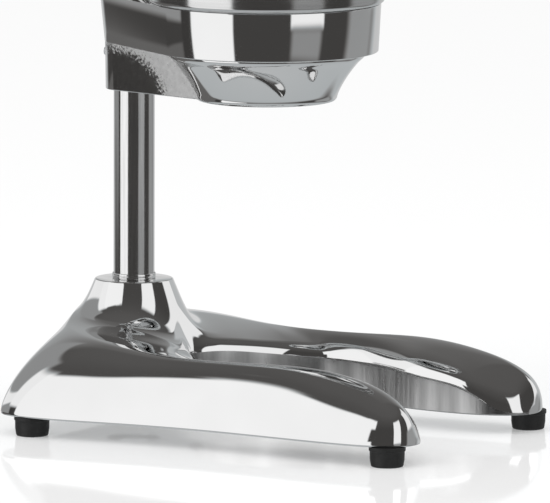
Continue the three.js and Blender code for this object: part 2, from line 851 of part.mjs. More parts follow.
// The side of the head, as shares of the reach and of the sleeve's height above the pivot.
const headSideShares = [
  [0.0, -1.235],
  [0.8, -1.235],
  [0.84, -1.294],
  [1.0, -1.294],
  [1.0, -0.74],
  [0.95, -0.62],
  [0.91, -0.42],
  [0.87, -0.12],
  [0.82, 0.12],
  [0.75, 0.33],
  [0.66, 0.46],
  [0.56, 0.51],
  [0.46, 0.5],
  [0.37, 0.55],
  [0.29, 0.72],
  [0.2, 1.0],
  [0.0, 1.0],
];
// The nose over the dome, as shares of its radius and height, from the bottom.
const noseShares = [
  [0, 0],
  [0.94, 0],
  [1, 0.05],
  [1, 0.67],
  [0.9, 0.86],
  [0.67, 0.97],
  [0, 1],
];

function pressHead() {
  const side = headSideShares.map(([forward, up]) => [-forward * reach, up * sleeveUp]);
  const cheeks = sideProfile(side, cheekHalfWidth);
  const sleeve = rod(sleeveRadius, -sleeveDown, sleeveUp);
  const noseProfile = noseShares.map(([radiusShare, heightShare]) => [
    radiusShare * noseRadius,
    -noseDown + heightShare * noseHeight,
  ]);
  const nose = place(turned(noseProfile, sides), 0, -reach);
  const bosses = rodAlong(
    "x",
    pivotBossRadius,
    -cheekHalfWidth - pivotBossProud,
    cheekHalfWidth + pivotBossProud,
    [0, pivotY, 0],
    sides,
  );
  const bore = rod(bushRadius + fitGap, -sleeveDown - overrun, sleeveUp + overrun);
  const sectorSpace = rodAlong("x", slotRadius, -slotHalfWidth, slotHalfWidth, [0, pivotY, 0], sides);
  const far = 2 * reach;
  const drop = (leverArmRoot + seatGap) / Math.cos(leverPressed);
  const lean = leverArmRoot + sectorGap;
  const armSpace = sideProfile(
    [
      [pivotY, -drop],
      [pivotY - far, -drop + far * Math.tan(leverPressed)],
      [pivotY - far, far],
      [pivotY + lean - (far / Math.tan(leverOpenAngle)), far],
      [pivotY + lean, 0],
    ],
    slotHalfWidth,
  );
  const pinBore = rodAlong(
    "x",
    pinRadius + fitGap,
    -cheekHalfWidth - pivotBossProud - overrun,
    cheekHalfWidth + pivotBossProud + overrun,
    [0, pivotY, 0],
  );
  const boltHole = place(
    rod(bellBoltRadius + fitGap, -noseDown - overrun, -noseDown + bellBoltReach + seatGap, smallSides),
    0,
    -reach,
  );
  const guideHole = rodAlong(
    "y",
    guideScrewRadius + fitGap,
    columnRadius,
    sleeveRadius + overrun,
    [0, 0, -guideScrewDrop],
  );
  return cheeks
    .add(sleeve)
    .add(nose)
    .add(bosses)
    .subtract(bore)
    .subtract(sectorSpace)
    .subtract(armSpace)
    .subtract(pinBore)
    .subtract(boltHole)
    .subtract(guideHole);
}

piece(headGroup, "press_head", pressHead(), chrome);
piece(
  headGroup,
  "upper_bush",
  tube(columnRadius + runningGap, bushRadius, sleeveUp - upperBushLength, sleeveUp),
  brass,
);
piece(
  headGroup,
  "lower_bush",
  tube(columnRadius + runningGap, bushRadius, -sleeveDown, -sleeveDown + lowerBushLength),
  brass,
);
piece(
  headGroup,
  "guide_screw",
  setScrew(
    guideScrewRadius,
    columnRadius + seatGap,
    sleeveRadius + guideScrewProud,
    -guideScrewDrop,
  ).add(
    rodAlong(
      "y",
      keyWidth / 2 - runningGap,
      columnRadius - keyDepth + seatGap,
      columnRadius + guideScrewProud,
      [0, 0, -guideScrewDrop],
    ),
  ),
  zincSteel,
);

// The dome: its outside as shares of the radius and of the height from rim to shoulder.
const bellShares = [
  [1.0, 0.0],
  [0.985, 0.12],
  [0.93, 0.42],
  [0.8, 0.72],
  [0.6, 0.92],
  [0.4, 1.0],
];
const bellRim = bellPressedRise - pivotRise;
const bellTop = -noseDown - seatGap;
const bellShoulder = bellTop - bellBossHeight;

function bell() {
  const skirt = bellRim + bellSkirt;
  const outside = bellShares.map(([radiusShare, heightShare]) => [
    radiusShare * bellRadius,
    skirt + heightShare * (bellShoulder - skirt),
  ]);
  const inside = outside.map(([radius, height]) => [radius - bellWall, height - bellWall]).reverse();
  const profile = [
    [bellRadius, bellRim],
    ...outside,
    [bellBossRadius, bellShoulder],
    [bellBossRadius, bellTop],
    [bellBoltRadius + seatGap, bellTop],
    [bellBoltRadius + seatGap, bellShoulder - bellWall],
    ...inside,
    [bellRadius - bellWall, bellRim],
    [bellRadius, bellRim],
  ];
  return place(turned(profile, largeSides), 0, -reach);
}

const bellWasherTop = bellShoulder - bellWall - seatGap;
const bellBoltHeadTop = bellWasherTop - bellWasherThickness - seatGap;
piece(headGroup, "press_bell", bell(), castAluminium);
piece(
  headGroup,
  "bell_washer",
  place(
    tube(
      bellBoltRadius + fitGap,
      bellWasherRadius,
      bellWasherTop - bellWasherThickness,
      bellWasherTop,
      smallSides,
    ),
    0,
    -reach,
  ),
  zincSteel,
);
piece(
  headGroup,
  "bell_bolt",
  place(
    hexagon(bellBoltHeadRadius, bellBoltHeadTop - bellBoltHeadHeight, bellBoltHeadTop).add(
      rod(
        bellBoltRadius,
        bellBoltHeadTop - bellBoltHeadHeight / 2,
        -noseDown + bellBoltReach,
        smallSides,
      ),
    ),
    0,
    -reach,
  ),
  zincSteel,
);

// The lever's axle. Its nuts end in domes, given as shares of a dome's radius and height.
const domeShares = [
  [1, 0],
  [0.86, 0.5],
  [0.5, 0.87],
  [0, 1],
];
const cheekFace = cheekHalfWidth + pivotBossProud;
const washerNear = cheekFace + seatGap;
const nutNear = washerNear + pinWasherThickness + seatGap;
const nutFar = nutNear + pinNutHeight;
const pinHalfLength = nutFar + pinTail;
piece(
  headGroup,
  "pivot_pin",
  rodAlong("x", pinRadius, -pinHalfLength, pinHalfLength, [0, pivotY, 0]),
  polishedSteel,
);
const axleRings = [
  { name: "right", turn: Math.PI / 2 },
  { name: "left", turn: -Math.PI / 2 },
];
for (const { name, turn } of axleRings) {
  const washer = tube(
    pinRadius + fitGap,
    pinWasherRadius,
    washerNear,
    washerNear + pinWasherThickness,
    smallSides,
  );
  const dome = turned(
    [
      [0, nutNear],
      [pinNutDomeRadius, nutNear],
      ...domeShares.map(([radiusShare, heightShare]) => [
        pinNutDomeRadius * radiusShare,
        nutFar + pinNutDomeHeight * heightShare,
      ]),
    ],
    smallSides,
  );
  const bore = rod(pinRadius + fitGap, nutNear - overrun, pinHalfLength + seatGap, smallSides);
  const nut = hexagon(pinNutRadius, nutNear, nutFar).add(dome).subtract(bore);
  const onAxle = new THREE.Group();
  onAxle.rotation.y = turn;
  onAxle.position.y = pivotY;
  headGroup.add(onAxle);
  piece(onAxle, "pivot_washer_" + name, washer, zincSteel);
  piece(onAxle, "pivot_nut_" + name, nut, chrome);
}

// The lever. It is drawn flat, with its arm along +X and its pivot at the origin.
const toothAngle = (2 * Math.PI) / sectorTeeth;
const baseCircle = pitchRadius * Math.cos(pressureAngle);
const rootRadius = pitchRadius - dedendumShare * toothModule;
const involute = (angle) => Math.tan(angle) - angle;
const flankShares = [0, 0.25, 0.5, 0.75, 1];
const meshAngle = Math.PI - leverOpenAngle;

// Half the angle that a tooth takes up at a radius.
function halfToothAngle(radius) {
  const atPitch = Math.PI / (2 * sectorTeeth) - backlash / (4 * pitchRadius);
  const pressure = Math.acos(Math.min(1, baseCircle / radius));
  return atPitch + involute(pressureAngle) - involute(pressure);
}

function leverOutline() {
  const polar = (radius, angle) => new THREE.Vector2(radius * Math.cos(angle), radius * Math.sin(angle));
  const points = [];
  const flankRadii = flankShares.map((share) => baseCircle + share * (tipRadius - baseCircle));
  for (let k = 0; k < toothedSectorTeeth; k++) {
    const middle = meshAngle + (k - 1.5) * toothAngle;
    points.push(polar(rootRadius, middle - halfToothAngle(baseCircle)));
    flankRadii.forEach((radius) => points.push(polar(radius, middle - halfToothAngle(radius))));
    const falling = [...flankRadii].reverse();
    falling.forEach((radius) => points.push(polar(radius, middle + halfToothAngle(radius))));
    points.push(polar(rootRadius, middle + halfToothAngle(baseCircle)));
  }
  const lastTooth = meshAngle + (toothedSectorTeeth - 2) * toothAngle;
  const hubSteps = 6;
  const hubFrom = lastTooth + toothAngle;
  const hubTo = 2 * Math.PI - leverHubEnd;
  for (let i = 0; i <= hubSteps; i++) {
    points.push(polar(leverHubRadius, hubFrom + ((hubTo - hubFrom) * i) / hubSteps));
  }
  points.push(new THREE.Vector2(pitchRadius, -leverArmRoot));
  points.push(new THREE.Vector2(leverArmLength - leverArmTip, -leverArmTip));
  points.push(new THREE.Vector2(leverArmLength, -leverArmTip + leverArmTip / 4));
  points.push(new THREE.Vector2(leverArmLength, leverArmTip - leverArmTip / 4));
  points.push(new THREE.Vector2(leverArmLength - leverArmTip, leverArmTip));
  points.push(new THREE.Vector2(pitchRadius, leverArmRoot));
  return points;
}

const ferruleNear = leverArmLength + seatGap;
const gripNear = ferruleNear + ferruleLength + seatGap;
const gripEnd = gripNear + gripLength;
const leverTangLength = gripEnd + leverTangTail;

function lever() {
  const shape = new THREE.Shape(leverOutline());
  const plate = solid(
    new THREE.ExtrudeGeometry(shape, { depth: 2 * leverHalfThickness, bevelEnabled: false }).translate(
      0,
      0,
      -leverHalfThickness,
    ),
  );
  const tang = rodAlong("x", leverTangRadius, leverArmLength - leverArmTip, leverTangLength, [0, 0, 0]);
  const bore = rod(leverBushRadius + fitGap, -leverHalfThickness - overrun, leverHalfThickness + overrun);
  return plate.add(tang).subtract(bore);
}

// The lever's own group: its arm's +X turns to the front and up by the open angle.
const leverFrame = new THREE.Group();
leverFrame.matrixAutoUpdate = false;
leverFrame.matrix.makeBasis(
  new THREE.Vector3(0, -Math.cos(leverOpenAngle), Math.sin(leverOpenAngle)),
  new THREE.Vector3(0, Math.sin(leverOpenAngle), Math.cos(leverOpenAngle)),
  new THREE.Vector3(-1, 0, 0),
);
leverGroup.add(leverFrame);

// A profile of [radius, place] turned round the arm's own axis.
function turnedOnArm(profile) {
  const points = profile.map(([radius, along]) => new THREE.Vector2(radius, along));
  return solid(new THREE.LatheGeometry(points, sides).rotateZ(-Math.PI / 2));
}

piece(leverFrame, "lever_arm", lever(), chrome);
piece(
  leverFrame,
  "lever_bush",
  tube(pinRadius + runningGap, leverBushRadius, -leverHalfThickness, leverHalfThickness),
  brass,
);

const tangBore = leverTangRadius + fitGap;
piece(
  leverFrame,
  "lever_ferrule",
  turnedOnArm([
    [tangBore, ferruleNear],
    [ferruleRadius - ferruleLength / 6, ferruleNear],
    [ferruleRadius, ferruleNear + ferruleLength / 3],
    [ferruleRadius, ferruleNear + ferruleLength],
    [tangBore, ferruleNear + ferruleLength],
    [tangBore, ferruleNear],
  ]),
  chrome,
);

// The grip's outside, as shares of its radius and its length.
const gripShares = [
  [0.8, 0.0],
  [0.88, 0.05],
  [0.85, 0.2],
  [0.9, 0.45],
  [1.0, 0.75],
  [0.98, 0.9],
  [0.86, 0.98],
  [0.75, 1.0],
];
piece(
  leverFrame,
  "lever_grip",
  turnedOnArm([
    [tangBore, gripNear],
    ...gripShares.map(([radius, along]) => [radius * gripRadius, gripNear + along * (gripEnd - gripNear)]),
    [tangBore, gripEnd],
    [tangBore, gripNear],
  ]),
  blackPlastic,
);
const endNutNear = gripEnd + seatGap;
piece(
  leverFrame,
  "grip_end_nut",
  turnedOnArm([
    [0, leverTangLength + seatGap],
    [tangBore, leverTangLength + seatGap],
    [tangBore, endNutNear],
    [endNutRadius, endNutNear],
    [endNutRadius, endNutNear + endNutHeight / 2],
    [endNutRadius - endNutHeight / 4, endNutNear + endNutHeight - endNutHeight / 6],
    [endNutRadius / 3, endNutNear + endNutHeight],
    [0, endNutNear + endNutHeight],
  ]),
  chrome,
);

// The origin is under the middle of the whole outline.
press.updateMatrixWorld(true);
const outline = new THREE.Box3().setFromObject(press, true);
press.position.x -= (outline.min.x + outline.max.x) / 2;
press.position.y -= (outline.min.y + outline.max.y) / 2;
press.updateMatrixWorld(true);

export default press;
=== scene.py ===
from math import acos, asin, atan, atan2, cos, pi, radians, sin, tan

import bpy
import numpy as np
from mathutils import Matrix, Vector


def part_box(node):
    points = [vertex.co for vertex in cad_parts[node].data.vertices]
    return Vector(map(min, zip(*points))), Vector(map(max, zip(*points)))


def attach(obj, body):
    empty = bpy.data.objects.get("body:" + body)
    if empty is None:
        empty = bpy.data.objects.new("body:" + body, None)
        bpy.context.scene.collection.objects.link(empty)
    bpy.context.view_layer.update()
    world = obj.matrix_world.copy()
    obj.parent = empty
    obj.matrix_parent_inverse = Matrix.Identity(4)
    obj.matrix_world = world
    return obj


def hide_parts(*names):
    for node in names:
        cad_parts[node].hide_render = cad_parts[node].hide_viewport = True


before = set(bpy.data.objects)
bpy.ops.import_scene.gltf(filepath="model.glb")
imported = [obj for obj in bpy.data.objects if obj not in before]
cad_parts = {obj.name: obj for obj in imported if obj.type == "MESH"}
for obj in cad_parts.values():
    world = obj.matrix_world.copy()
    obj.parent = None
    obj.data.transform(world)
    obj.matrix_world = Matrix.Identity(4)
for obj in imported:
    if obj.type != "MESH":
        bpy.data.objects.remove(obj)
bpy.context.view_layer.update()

# Sizes are in millimetres from the column's axis at the floor, as on the drawing of the press:
# X across, -Y towards the legs, Z up. at() turns them into the model's metres.
MM = 0.001
column_low, column_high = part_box("column")
COLUMN_Y = (column_low.y + column_high.y) / 2
X = Vector((1, 0, 0))
Y = Vector((0, 1, 0))
Z = Vector((0, 0, 1))

# The bowl's distance, the lever's axle, how far back the lever stands and how far it swings.
REACH = 74.1
PIVOT_Y = -41.0
PIVOT_Z = 374.0
OPEN_ANGLE = radians(100)
LEVER_SWING = 2.0
BOWL_MIDDLE = (0, -REACH, 0)
HEAD_MIDDLE = (0, 0, PIVOT_Z)
BELL_MIDDLE = (0, -REACH, PIVOT_Z)
PIVOT = (0, PIVOT_Y, PIVOT_Z)

# Bores for the column, for its bolt and the lever's axle, and for the set screws.
COLUMN_BORE = 10.15
AXLE_BORE = 5.15
SET_SCREW_BORE = 2.65
SAME_PLACE = 1e-6


def at(x, y, z):
    return Vector((x * MM, COLUMN_Y + y * MM, z * MM))


# Modelling helpers.


def mode(kind):
    bpy.ops.object.mode_set(mode=kind)


def select_all():
    bpy.ops.mesh.select_all(action="SELECT")


def deselect():
    bpy.ops.object.select_all(action="DESELECT")


def only(piece):
    deselect()
    piece.select_set(True)
    bpy.context.view_layer.objects.active = piece


def joined(pieces):
    only(pieces[0])
    for piece in pieces:
        piece.select_set(True)
    bpy.ops.object.join()
    return bpy.context.object


def named(name):
    piece = bpy.context.object
    piece.name = name
    piece.data.name = name
    return piece


def drawn_out(way):
    bpy.ops.mesh.extrude_region_move(TRANSFORM_OT_translate={"value": way})


def run_of_points(name, points):
    """One corner drawn out from point to point, left in edit mode."""
    deselect()
    bpy.ops.mesh.primitive_plane_add(size=MM, location=(0, 0, 0))
    piece = named(name)
    mode("EDIT")
    bpy.ops.mesh.merge(type="CENTER")
    bpy.ops.transform.translate(value=points[0])
    for a, b in zip(points, points[1:]):
        drawn_out(b - a)
    return piece


def merged(tolerance=SAME_PLACE):
    """Corners in one place become one."""
    select_all()
    bpy.ops.mesh.remove_doubles(threshold=tolerance)
    select_all()


def closed_up():
    merged()
    bpy.ops.mesh.normals_make_consistent(inside=False)
    mode("OBJECT")


def spun(name, points, middle, axis, steps):
    piece = run_of_points(name, points)
    select_all()
    bpy.ops.mesh.spin(steps=steps, angle=2 * pi, center=middle, axis=axis)
    closed_up()
    return piece


def square_to(along):
    return Y if abs(along.dot(X)) > 0.9 else X


def turned(name, profile, centre=(0, 0, 0), along=Z, steps=96):
    """A profile of (radius, place along the axis) spun round that axis."""
    middle, out = at(*centre), square_to(along)
    points = [middle + out * r * MM + along * h * MM for r, h in profile]
    return spun(name, points, middle, along, steps)


def rod(name, radius, low, high, *place):
    return turned(name, [(0, low), (radius, low), (radius, high), (0, high)], *place)


def ring(name, profile, *place):
    """A turned piece with a hole: its profile closes on itself."""
    return turned(name, [*profile, profile[0]], *place)


def plate(name, outline, depth):
    """A closed outline of points, filled and drawn out by a depth."""
    piece = run_of_points(name, [*outline, outline[0]])
    merged()
    bpy.ops.mesh.edge_face_add()
    drawn_out(depth)
    closed_up()
    return piece


def bridged(name, low, high):
    """Two closed outlines of as many points, bridged and filled at both ends."""
    ends = []
    for end, outline in ((name, low), (name + "_upper", high)):
        ends.append(run_of_points(end, [*outline, outline[0]]))
        mode("OBJECT")
    piece = joined(ends)
    mode("EDIT")
    merged()
    bpy.ops.mesh.bridge_edge_loops()
    select_all()
    bpy.ops.mesh.fill_holes(sides=0)
    closed_up()
    return piece


def modified(piece, kind, **settings):
    only(piece)
    modifier = piece.modifiers.new(kind.title(), kind)
    for key, value in settings.items():
        setattr(modifier, key, value)
    bpy.ops.object.modifier_apply(modifier=modifier.name)


def worked(piece, operation, tools):
    for tool in tools:
        modified(piece, "BOOLEAN", operation=operation, solver="EXACT", object=tool)
        bpy.data.objects.remove(tool)


def cut(piece, *tools):
    worked(piece, "DIFFERENCE", tools)


def fused(piece, *others):
    worked(piece, "UNION", others)


def eased(piece, width, segments, angle):
    """Its edges that are sharper than the angle get a small radius."""
    modified(piece, "BEVEL", width=width * MM, segments=segments, limit_method="ANGLE",
             angle_limit=radians(angle), harden_normals=False, use_clamp_overlap=True)


def hexagon(name, radius, low, high, centre=(0, 0, 0), along=Z):
    middle, out = at(*centre), square_to(along) * radius * MM
    corners = [middle + Matrix.Rotation(i * pi / 3, 3, along) @ out + along * low * MM
               for i in range(6)]
    return plate(name, corners, along * (high - low) * MM)


def arc(r, h, radius, start, end, steps):
    angles = [radians(start + (end - start) * i / steps) for i in range(steps + 1)]
    return [(r + radius * cos(a), h + radius * sin(a)) for a in angles]


def rounded_curve(points, steps=6):
    """A smooth run through profile points, with the ends kept."""
    rows = np.array(points, float)
    out = []
    for k in range(len(rows) - 1):
        p0, p1, p2, p3 = rows[max(k - 1, 0)], rows[k], rows[k + 1], rows[min(k + 2, len(rows) - 1)]
        for i in range(steps):
            t = i / steps
            out.append(0.5 * (2 * p1 + (p2 - p0) * t + (2 * p0 - 5 * p1 + 4 * p2 - p3) * t**2
                              + (3 * p1 - p0 - 3 * p2 + p3) * t**3))
    out.append(rows[-1])
    return [tuple(p) for p in out]


def finished(piece, body, node, slot, angle=32):
    """Shading, a finish where there is none yet, and the piece's place in the frame."""
    only(piece)
    bpy.ops.object.shade_smooth_by_angle(angle=radians(angle))
    if not piece.data.materials:
        piece.data.materials.append(FINISHES[slot])
    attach(piece, body)
    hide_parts(node)


def keyed(screw, key, body, node):
    """A screw gets its hexagon socket and its place."""
    cut(screw, hexagon("key", *key))
    finished(screw, body, node, "zinc_steel")


# Nodes. A value is a number, a colour or another node's output.


def feed(tree, socket, value):
    if isinstance(value, bpy.types.NodeSocket):
        tree.links.new(value, socket)
    else:
        socket.default_value = value


def made(tree, kind, inputs, **settings):
    node = tree.nodes.new("ShaderNode" + kind)
    for key, value in settings.items():
        setattr(node, key, value)
    for key, value in inputs.items():
        feed(tree, node.inputs[key], value)
    return node


def maths(tree, operation, *values):
    return made(tree, "Math", dict(enumerate(values)), operation=operation).outputs["Value"]


def product(tree, a, b):
    return maths(tree, "MULTIPLY", a, b)


def along_axis(tree, direction, axis):
    node = made(tree, "VectorMath", {0: direction, 1: axis}, operation="DOT_PRODUCT")
    return node.outputs["Value"]


def rising(tree, value, start, end):
    """0 up to start, 1 from end on."""
    node = made(tree, "MapRange", {"Value": value, "From Min": start, "From Max": end},
                interpolation_type="SMOOTHSTEP")
    return node.outputs["Result"]


def within(tree, value, low, high, soft):
    return product(tree, rising(tree, value, low - soft, low + soft),
                   rising(tree, value, high + soft, high - soft))


def laid_over(tree, under, level, mask):
    return made(tree, "Mix", {0: mask, 2: under, 3: level}, data_type="FLOAT").outputs[0]


def ramp_of(tree, value, stops):
    ramp = made(tree, "ValToRGB", {"Fac": value})
    elements = ramp.color_ramp.elements
    while len(elements) < len(stops):
        elements.new(0.5)
    for element, (position, colour) in zip(elements, stops):
        element.position = position
        element.color = (*colour, 1)
    return ramp.outputs["Color"]


# Most of the noise lies between these.
NOISE_LOW = 0.3
NOISE_HIGH = 0.7
EVEN = (1, 1, 1)


def noise_on(tree, stretch, scale, detail):
    """Noise on the piece's own coordinates, drawn out where stretch is small."""
    place = made(tree, "TexCoord", {}).outputs["Object"]
    stretched = made(tree, "Mapping", {"Vector": place, "Scale": stretch}).outputs["Vector"]
    noise = made(tree, "TexNoise", {"Vector": stretched, "Scale": scale, "Detail": detail})
    return noise.outputs["Fac"]


def spread(tree, noise, low, high):
    node = made(tree, "MapRange", {"Value": noise, "From Min": NOISE_LOW, "From Max": NOISE_HIGH,
                                   "To Min": low, "To Max": high})
    return node.outputs["Result"]


def relief(tree, shader, height, depth, strength=1.0):
    bump = made(tree, "Bump", {"Strength": strength, "Distance": depth, "Height": height})
    feed(tree, shader.inputs["Normal"], bump.outputs["Normal"])


def new_material(name):
    material = bpy.data.materials.new(name)
    material.use_nodes = True
    return material, material.node_tree, material.node_tree.nodes["Principled BSDF"]


def coloured(name, dark, light, metallic, grain, scale, detail):
    """A new material whose colour follows noise on the piece."""
    material, tree, shader = new_material(name)
    stops = [(NOISE_LOW, dark), (NOISE_HIGH, light)]
    colour = ramp_of(tree, noise_on(tree, grain, scale, detail), stops)
    feed(tree, shader.inputs["Metallic"], metallic)
    feed(tree, shader.inputs["Base Color"], colour)
    return material, tree, shader


def finish(name, dark, light, rough, grain_scale, rough_scale, depth,
           metallic=1.0, grain=EVEN, bump_scale=None, detail=4.0):
    """A surface whose colour, roughness and relief follow noise on the piece."""
    material, tree, shader = coloured(name, dark, light, metallic, grain, grain_scale, detail)
    patches = spread(tree, noise_on(tree, grain, rough_scale, detail), *rough)
    feed(tree, shader.inputs["Roughness"], patches)
    relief(tree, shader, noise_on(tree, grain, bump_scale or grain_scale, detail), depth)
    return material


def grey(level):
    return (level, level, level)


# The gusset's mirror finish ends on an ellipse about this place, in metres. The rest is sanded.
MIRROR_Y, MIRROR_Z = 0.0787, 0.1584
MIRROR_LONG, MIRROR_HIGH = 0.031, 0.0245
MIRROR_ROUGHNESS = 0.06


def sanded_gusset():
    material, tree, shader = coloured("gusset_chrome", grey(0.72), grey(0.84), 1.0, EVEN, 420, 4.0)
    place = made(tree, "TexCoord", {}).outputs["Object"]
    forward = maths(tree, "SUBTRACT", MIRROR_Y, along_axis(tree, place, Y))
    forward = maths(tree, "DIVIDE", forward, MIRROR_LONG)
    upward = maths(tree, "SUBTRACT", along_axis(tree, place, Z), MIRROR_Z)
    upward = maths(tree, "DIVIDE", upward, MIRROR_HIGH)
    reach = maths(tree, "SQRT", maths(tree, "ADD", product(tree, forward, forward),
                                      product(tree, upward, upward)))
    ragged = spread(tree, noise_on(tree, EVEN, 700, 8.0), -0.12, 0.12)
    patch = rising(tree, maths(tree, "ADD", reach, ragged), 0.86, 1.14)
    speckle = noise_on(tree, EVEN, 900, 6.0)
    sanded = product(tree, patch, spread(tree, speckle, 0.2, 0.55))
    feed(tree, shader.inputs["Roughness"], maths(tree, "ADD", sanded, MIRROR_ROUGHNESS))
    relief(tree, shader, speckle, 0.00004, patch)
    return material


chrome = finish("chrome_plate", grey(0.80), grey(0.84), (0.035, 0.06), 25, 45, 0.00004,
                bump_scale=22, detail=2.0)
cast_chrome_wall = finish("cast_chrome_wall", grey(0.30), grey(0.72), (0.26, 0.42), 75, 160,
                          0.00012, grain=(1, 1, 0.1), bump_scale=420)
cast_underside = finish("cast_underside", grey(0.42), grey(0.52), (0.45, 0.6), 500, 200, 0.00015)
FINISHES = {"chrome": chrome}
# Darkest and lightest colour, roughness, the scales of the noise in colour and in roughness, and
# the relief's depth in metres.
for slot, *row, more in (
    ("polished_steel", grey(0.70), grey(0.84), (0.08, 0.16), 650, 350, 0.000015,
     {"grain": (1, 1, 0.04)}),
    ("brushed_steel", grey(0.66), grey(0.76), (0.10, 0.17), 700, 400, 0.000006,
     {"grain": (0.03, 0.03, 1)}),
    ("cast_aluminium", grey(0.60), grey(0.68), (0.28, 0.40), 700, 120, 0.00003, {}),
    ("zinc_steel", (0.50, 0.51, 0.53), (0.60, 0.61, 0.62), (0.25, 0.38), 500, 200, 0.00001, {}),
    ("brass", (0.52, 0.38, 0.15), (0.62, 0.47, 0.20), (0.22, 0.34), 400, 200, 0.00001, {}),
    ("black_rubber", grey(0.012), grey(0.02), (0.5, 0.65), 600, 300, 0.00005, {"metallic": 0.0}),
    ("black_plastic", grey(0.016), grey(0.024), (0.30, 0.42), 900, 300, 0.00003,
     {"metallic": 0.0}),
):
    FINISHES[slot] = finish(slot, *row, **more)


# The base: one skin over sections that run from the tip of one leg round the back to the other.
# Each row is a section of the right half, from the back to the tip: the rim's X and Y, the crest's
# X, Y and Z, the slot lip's X, Y and Z, and how full the flank is.
BASE_SECTIONS = [
    (0.0, 36.5, 0.0, 26.0, 50.0, 0.0, -32.9, 34.5, 1.5),
    (26.0, 36.0, 18.0, 23.5, 50.0, 5.0, -34.5, 34.5, 1.4),
    (50.0, 35.1, 34.0, 16.5, 49.5, 11.5, -38.6, 34.6, 1.42),
    (68.1, 33.5, 45.1, 8.1, 48.9, 18.9, -44.3, 34.2, 1.48),
    (76.3, 30.6, 50.0, 1.9, 48.3, 24.4, -49.5, 33.6, 1.5),
    (80.4, 22.9, 54.1, -5.6, 47.5, 29.7, -54.0, 32.7, 1.5),
    (82.0, 9.0, 58.0, -18.1, 45.8, 37.0, -60.4, 31.6, 1.5),
    (80.7, -11.0, 59.0, -34.0, 43.7, 43.0, -68.2, 30.4, 1.5),
    (77.6, -34.0, 59.3, -52.9, 42.1, 47.6, -77.2, 29.7, 1.55),
    (75.4, -60.0, 59.5, -75.0, 41.6, 49.0, -88.8, 28.9, 1.55),
    (75.2, -85.9, 59.5, -97.0, 41.9, 47.6, -103.5, 28.2, 1.55),
    (76.7, -110.0, 59.5, -115.9, 42.4, 44.0, -118.9, 27.4, 1.55),
    (78.3, -132.1, 59.5, -133.4, 42.1, 40.4, -133.8, 26.0, 1.55),
    (79.3, -150.0, 59.5, -148.9, 40.4, 39.0, -148.0, 24.2, 1.55),
    (79.3, -166.0, 59.8, -162.6, 37.6, 38.8, -160.1, 22.0, 1.6),
    (78.1, -177.0, 60.4, -173.5, 34.1, 40.0, -170.1, 17.5, 1.75),
    (75.3, -184.7, 60.8, -181.4, 30.0, 42.2, -177.6, 12.9, 1.9),
    (71.2, -189.2, 61.0, -186.9, 25.6, 45.2, -183.5, 10.9, 2),
    (66.3, -190.7, 60.8, -189.7, 20.4, 49.0, -187.8, 10.7, 2),
    (61.0, -191.0, 59.5, -190.9, 12.4, 54.0, -190.1, 10.7, 2),
]
# The skin's rows: along the base, then up, over and down to the slot, and back underneath.
ALONG, FLANK_ROWS, SHOULDER_ROWS, LIP_ROWS, WALL_ROWS, BOTTOM_ROWS = 400, 40, 96, 12, 8, 6
UNDERSIDE = 9.5
RIM_RADIUS = 1.2
SLOT_ROUND = 4.5
SLOT_FOOT = 0.6
# The shoulder's bend, and what is added to it as it grows from narrow to wide.
BEND, MORE_BEND = 1.3, 0.7
NARROW, WIDE = 14, 34
# The cone that holds the column, the fillet at its foot, how far out the cone is felt, and how far
# from the slot's lip it fades.
CONE_TOP = 69.5
CONE_TOP_RADIUS = 19.0
CONE_SLOPE = 0.414
CONE_BLEND = 19.0
CONE_FIELD = 70
LIP_FADE = 9


def through(rows, count):
    """A smooth curve through the rows, as evenly spaced rows."""
    steps = np.linalg.norm(np.diff(rows[:, :8], axis=0), axis=1)
    place = np.concatenate([[0], np.cumsum(steps)])
    n = len(rows)
    gap = np.diff(place)
    system = np.zeros((n, n))
    right = np.zeros((n, rows.shape[1]))
    system[0, 0] = system[-1, -1] = 1
    for i in range(1, n - 1):
        system[i, i - 1 : i + 2] = gap[i - 1], 2 * (gap[i - 1] + gap[i]), gap[i]
        right[i] = 6 * ((rows[i + 1] - rows[i]) / gap[i] - (rows[i] - rows[i - 1]) / gap[i - 1])
    bend = np.linalg.solve(system, right)
    wanted = np.linspace(0, place[-1], count)
    k = np.clip(np.searchsorted(place, wanted, side="right") - 1, 0, n - 2)
    t, h = (wanted - place[k])[:, None], gap[k][:, None]
    a, b = rows[k], rows[k + 1]
    return (
        a + t * ((b - a) / h - h * (2 * bend[k] + bend[k + 1]) / 6)
        + t**2 * bend[k] / 2 + t**3 * (bend[k + 1] - bend[k]) / (6 * h)
    )


def softened(rows, width):
    """Rows averaged with their neighbours, the ends kept."""
    weights = np.exp(-0.5 * (np.arange(-3 * width, 3 * width + 1) / width) ** 2)
    weights /= weights.sum()
    before = 2 * rows[0] - rows[1 : 3 * width + 1][::-1]
    after = 2 * rows[-1] - rows[-3 * width - 1 : -1][::-1]
    padded = np.concatenate([before, rows, after])
    columns = [np.convolve(column, weights, mode="valid") for column in padded.T]
    return np.stack(columns, 1)


def smooth_step(low, high, value):
    t = np.clip((value - low) / (high - low), 0, 1)
    return t * t * (3 - 2 * t)


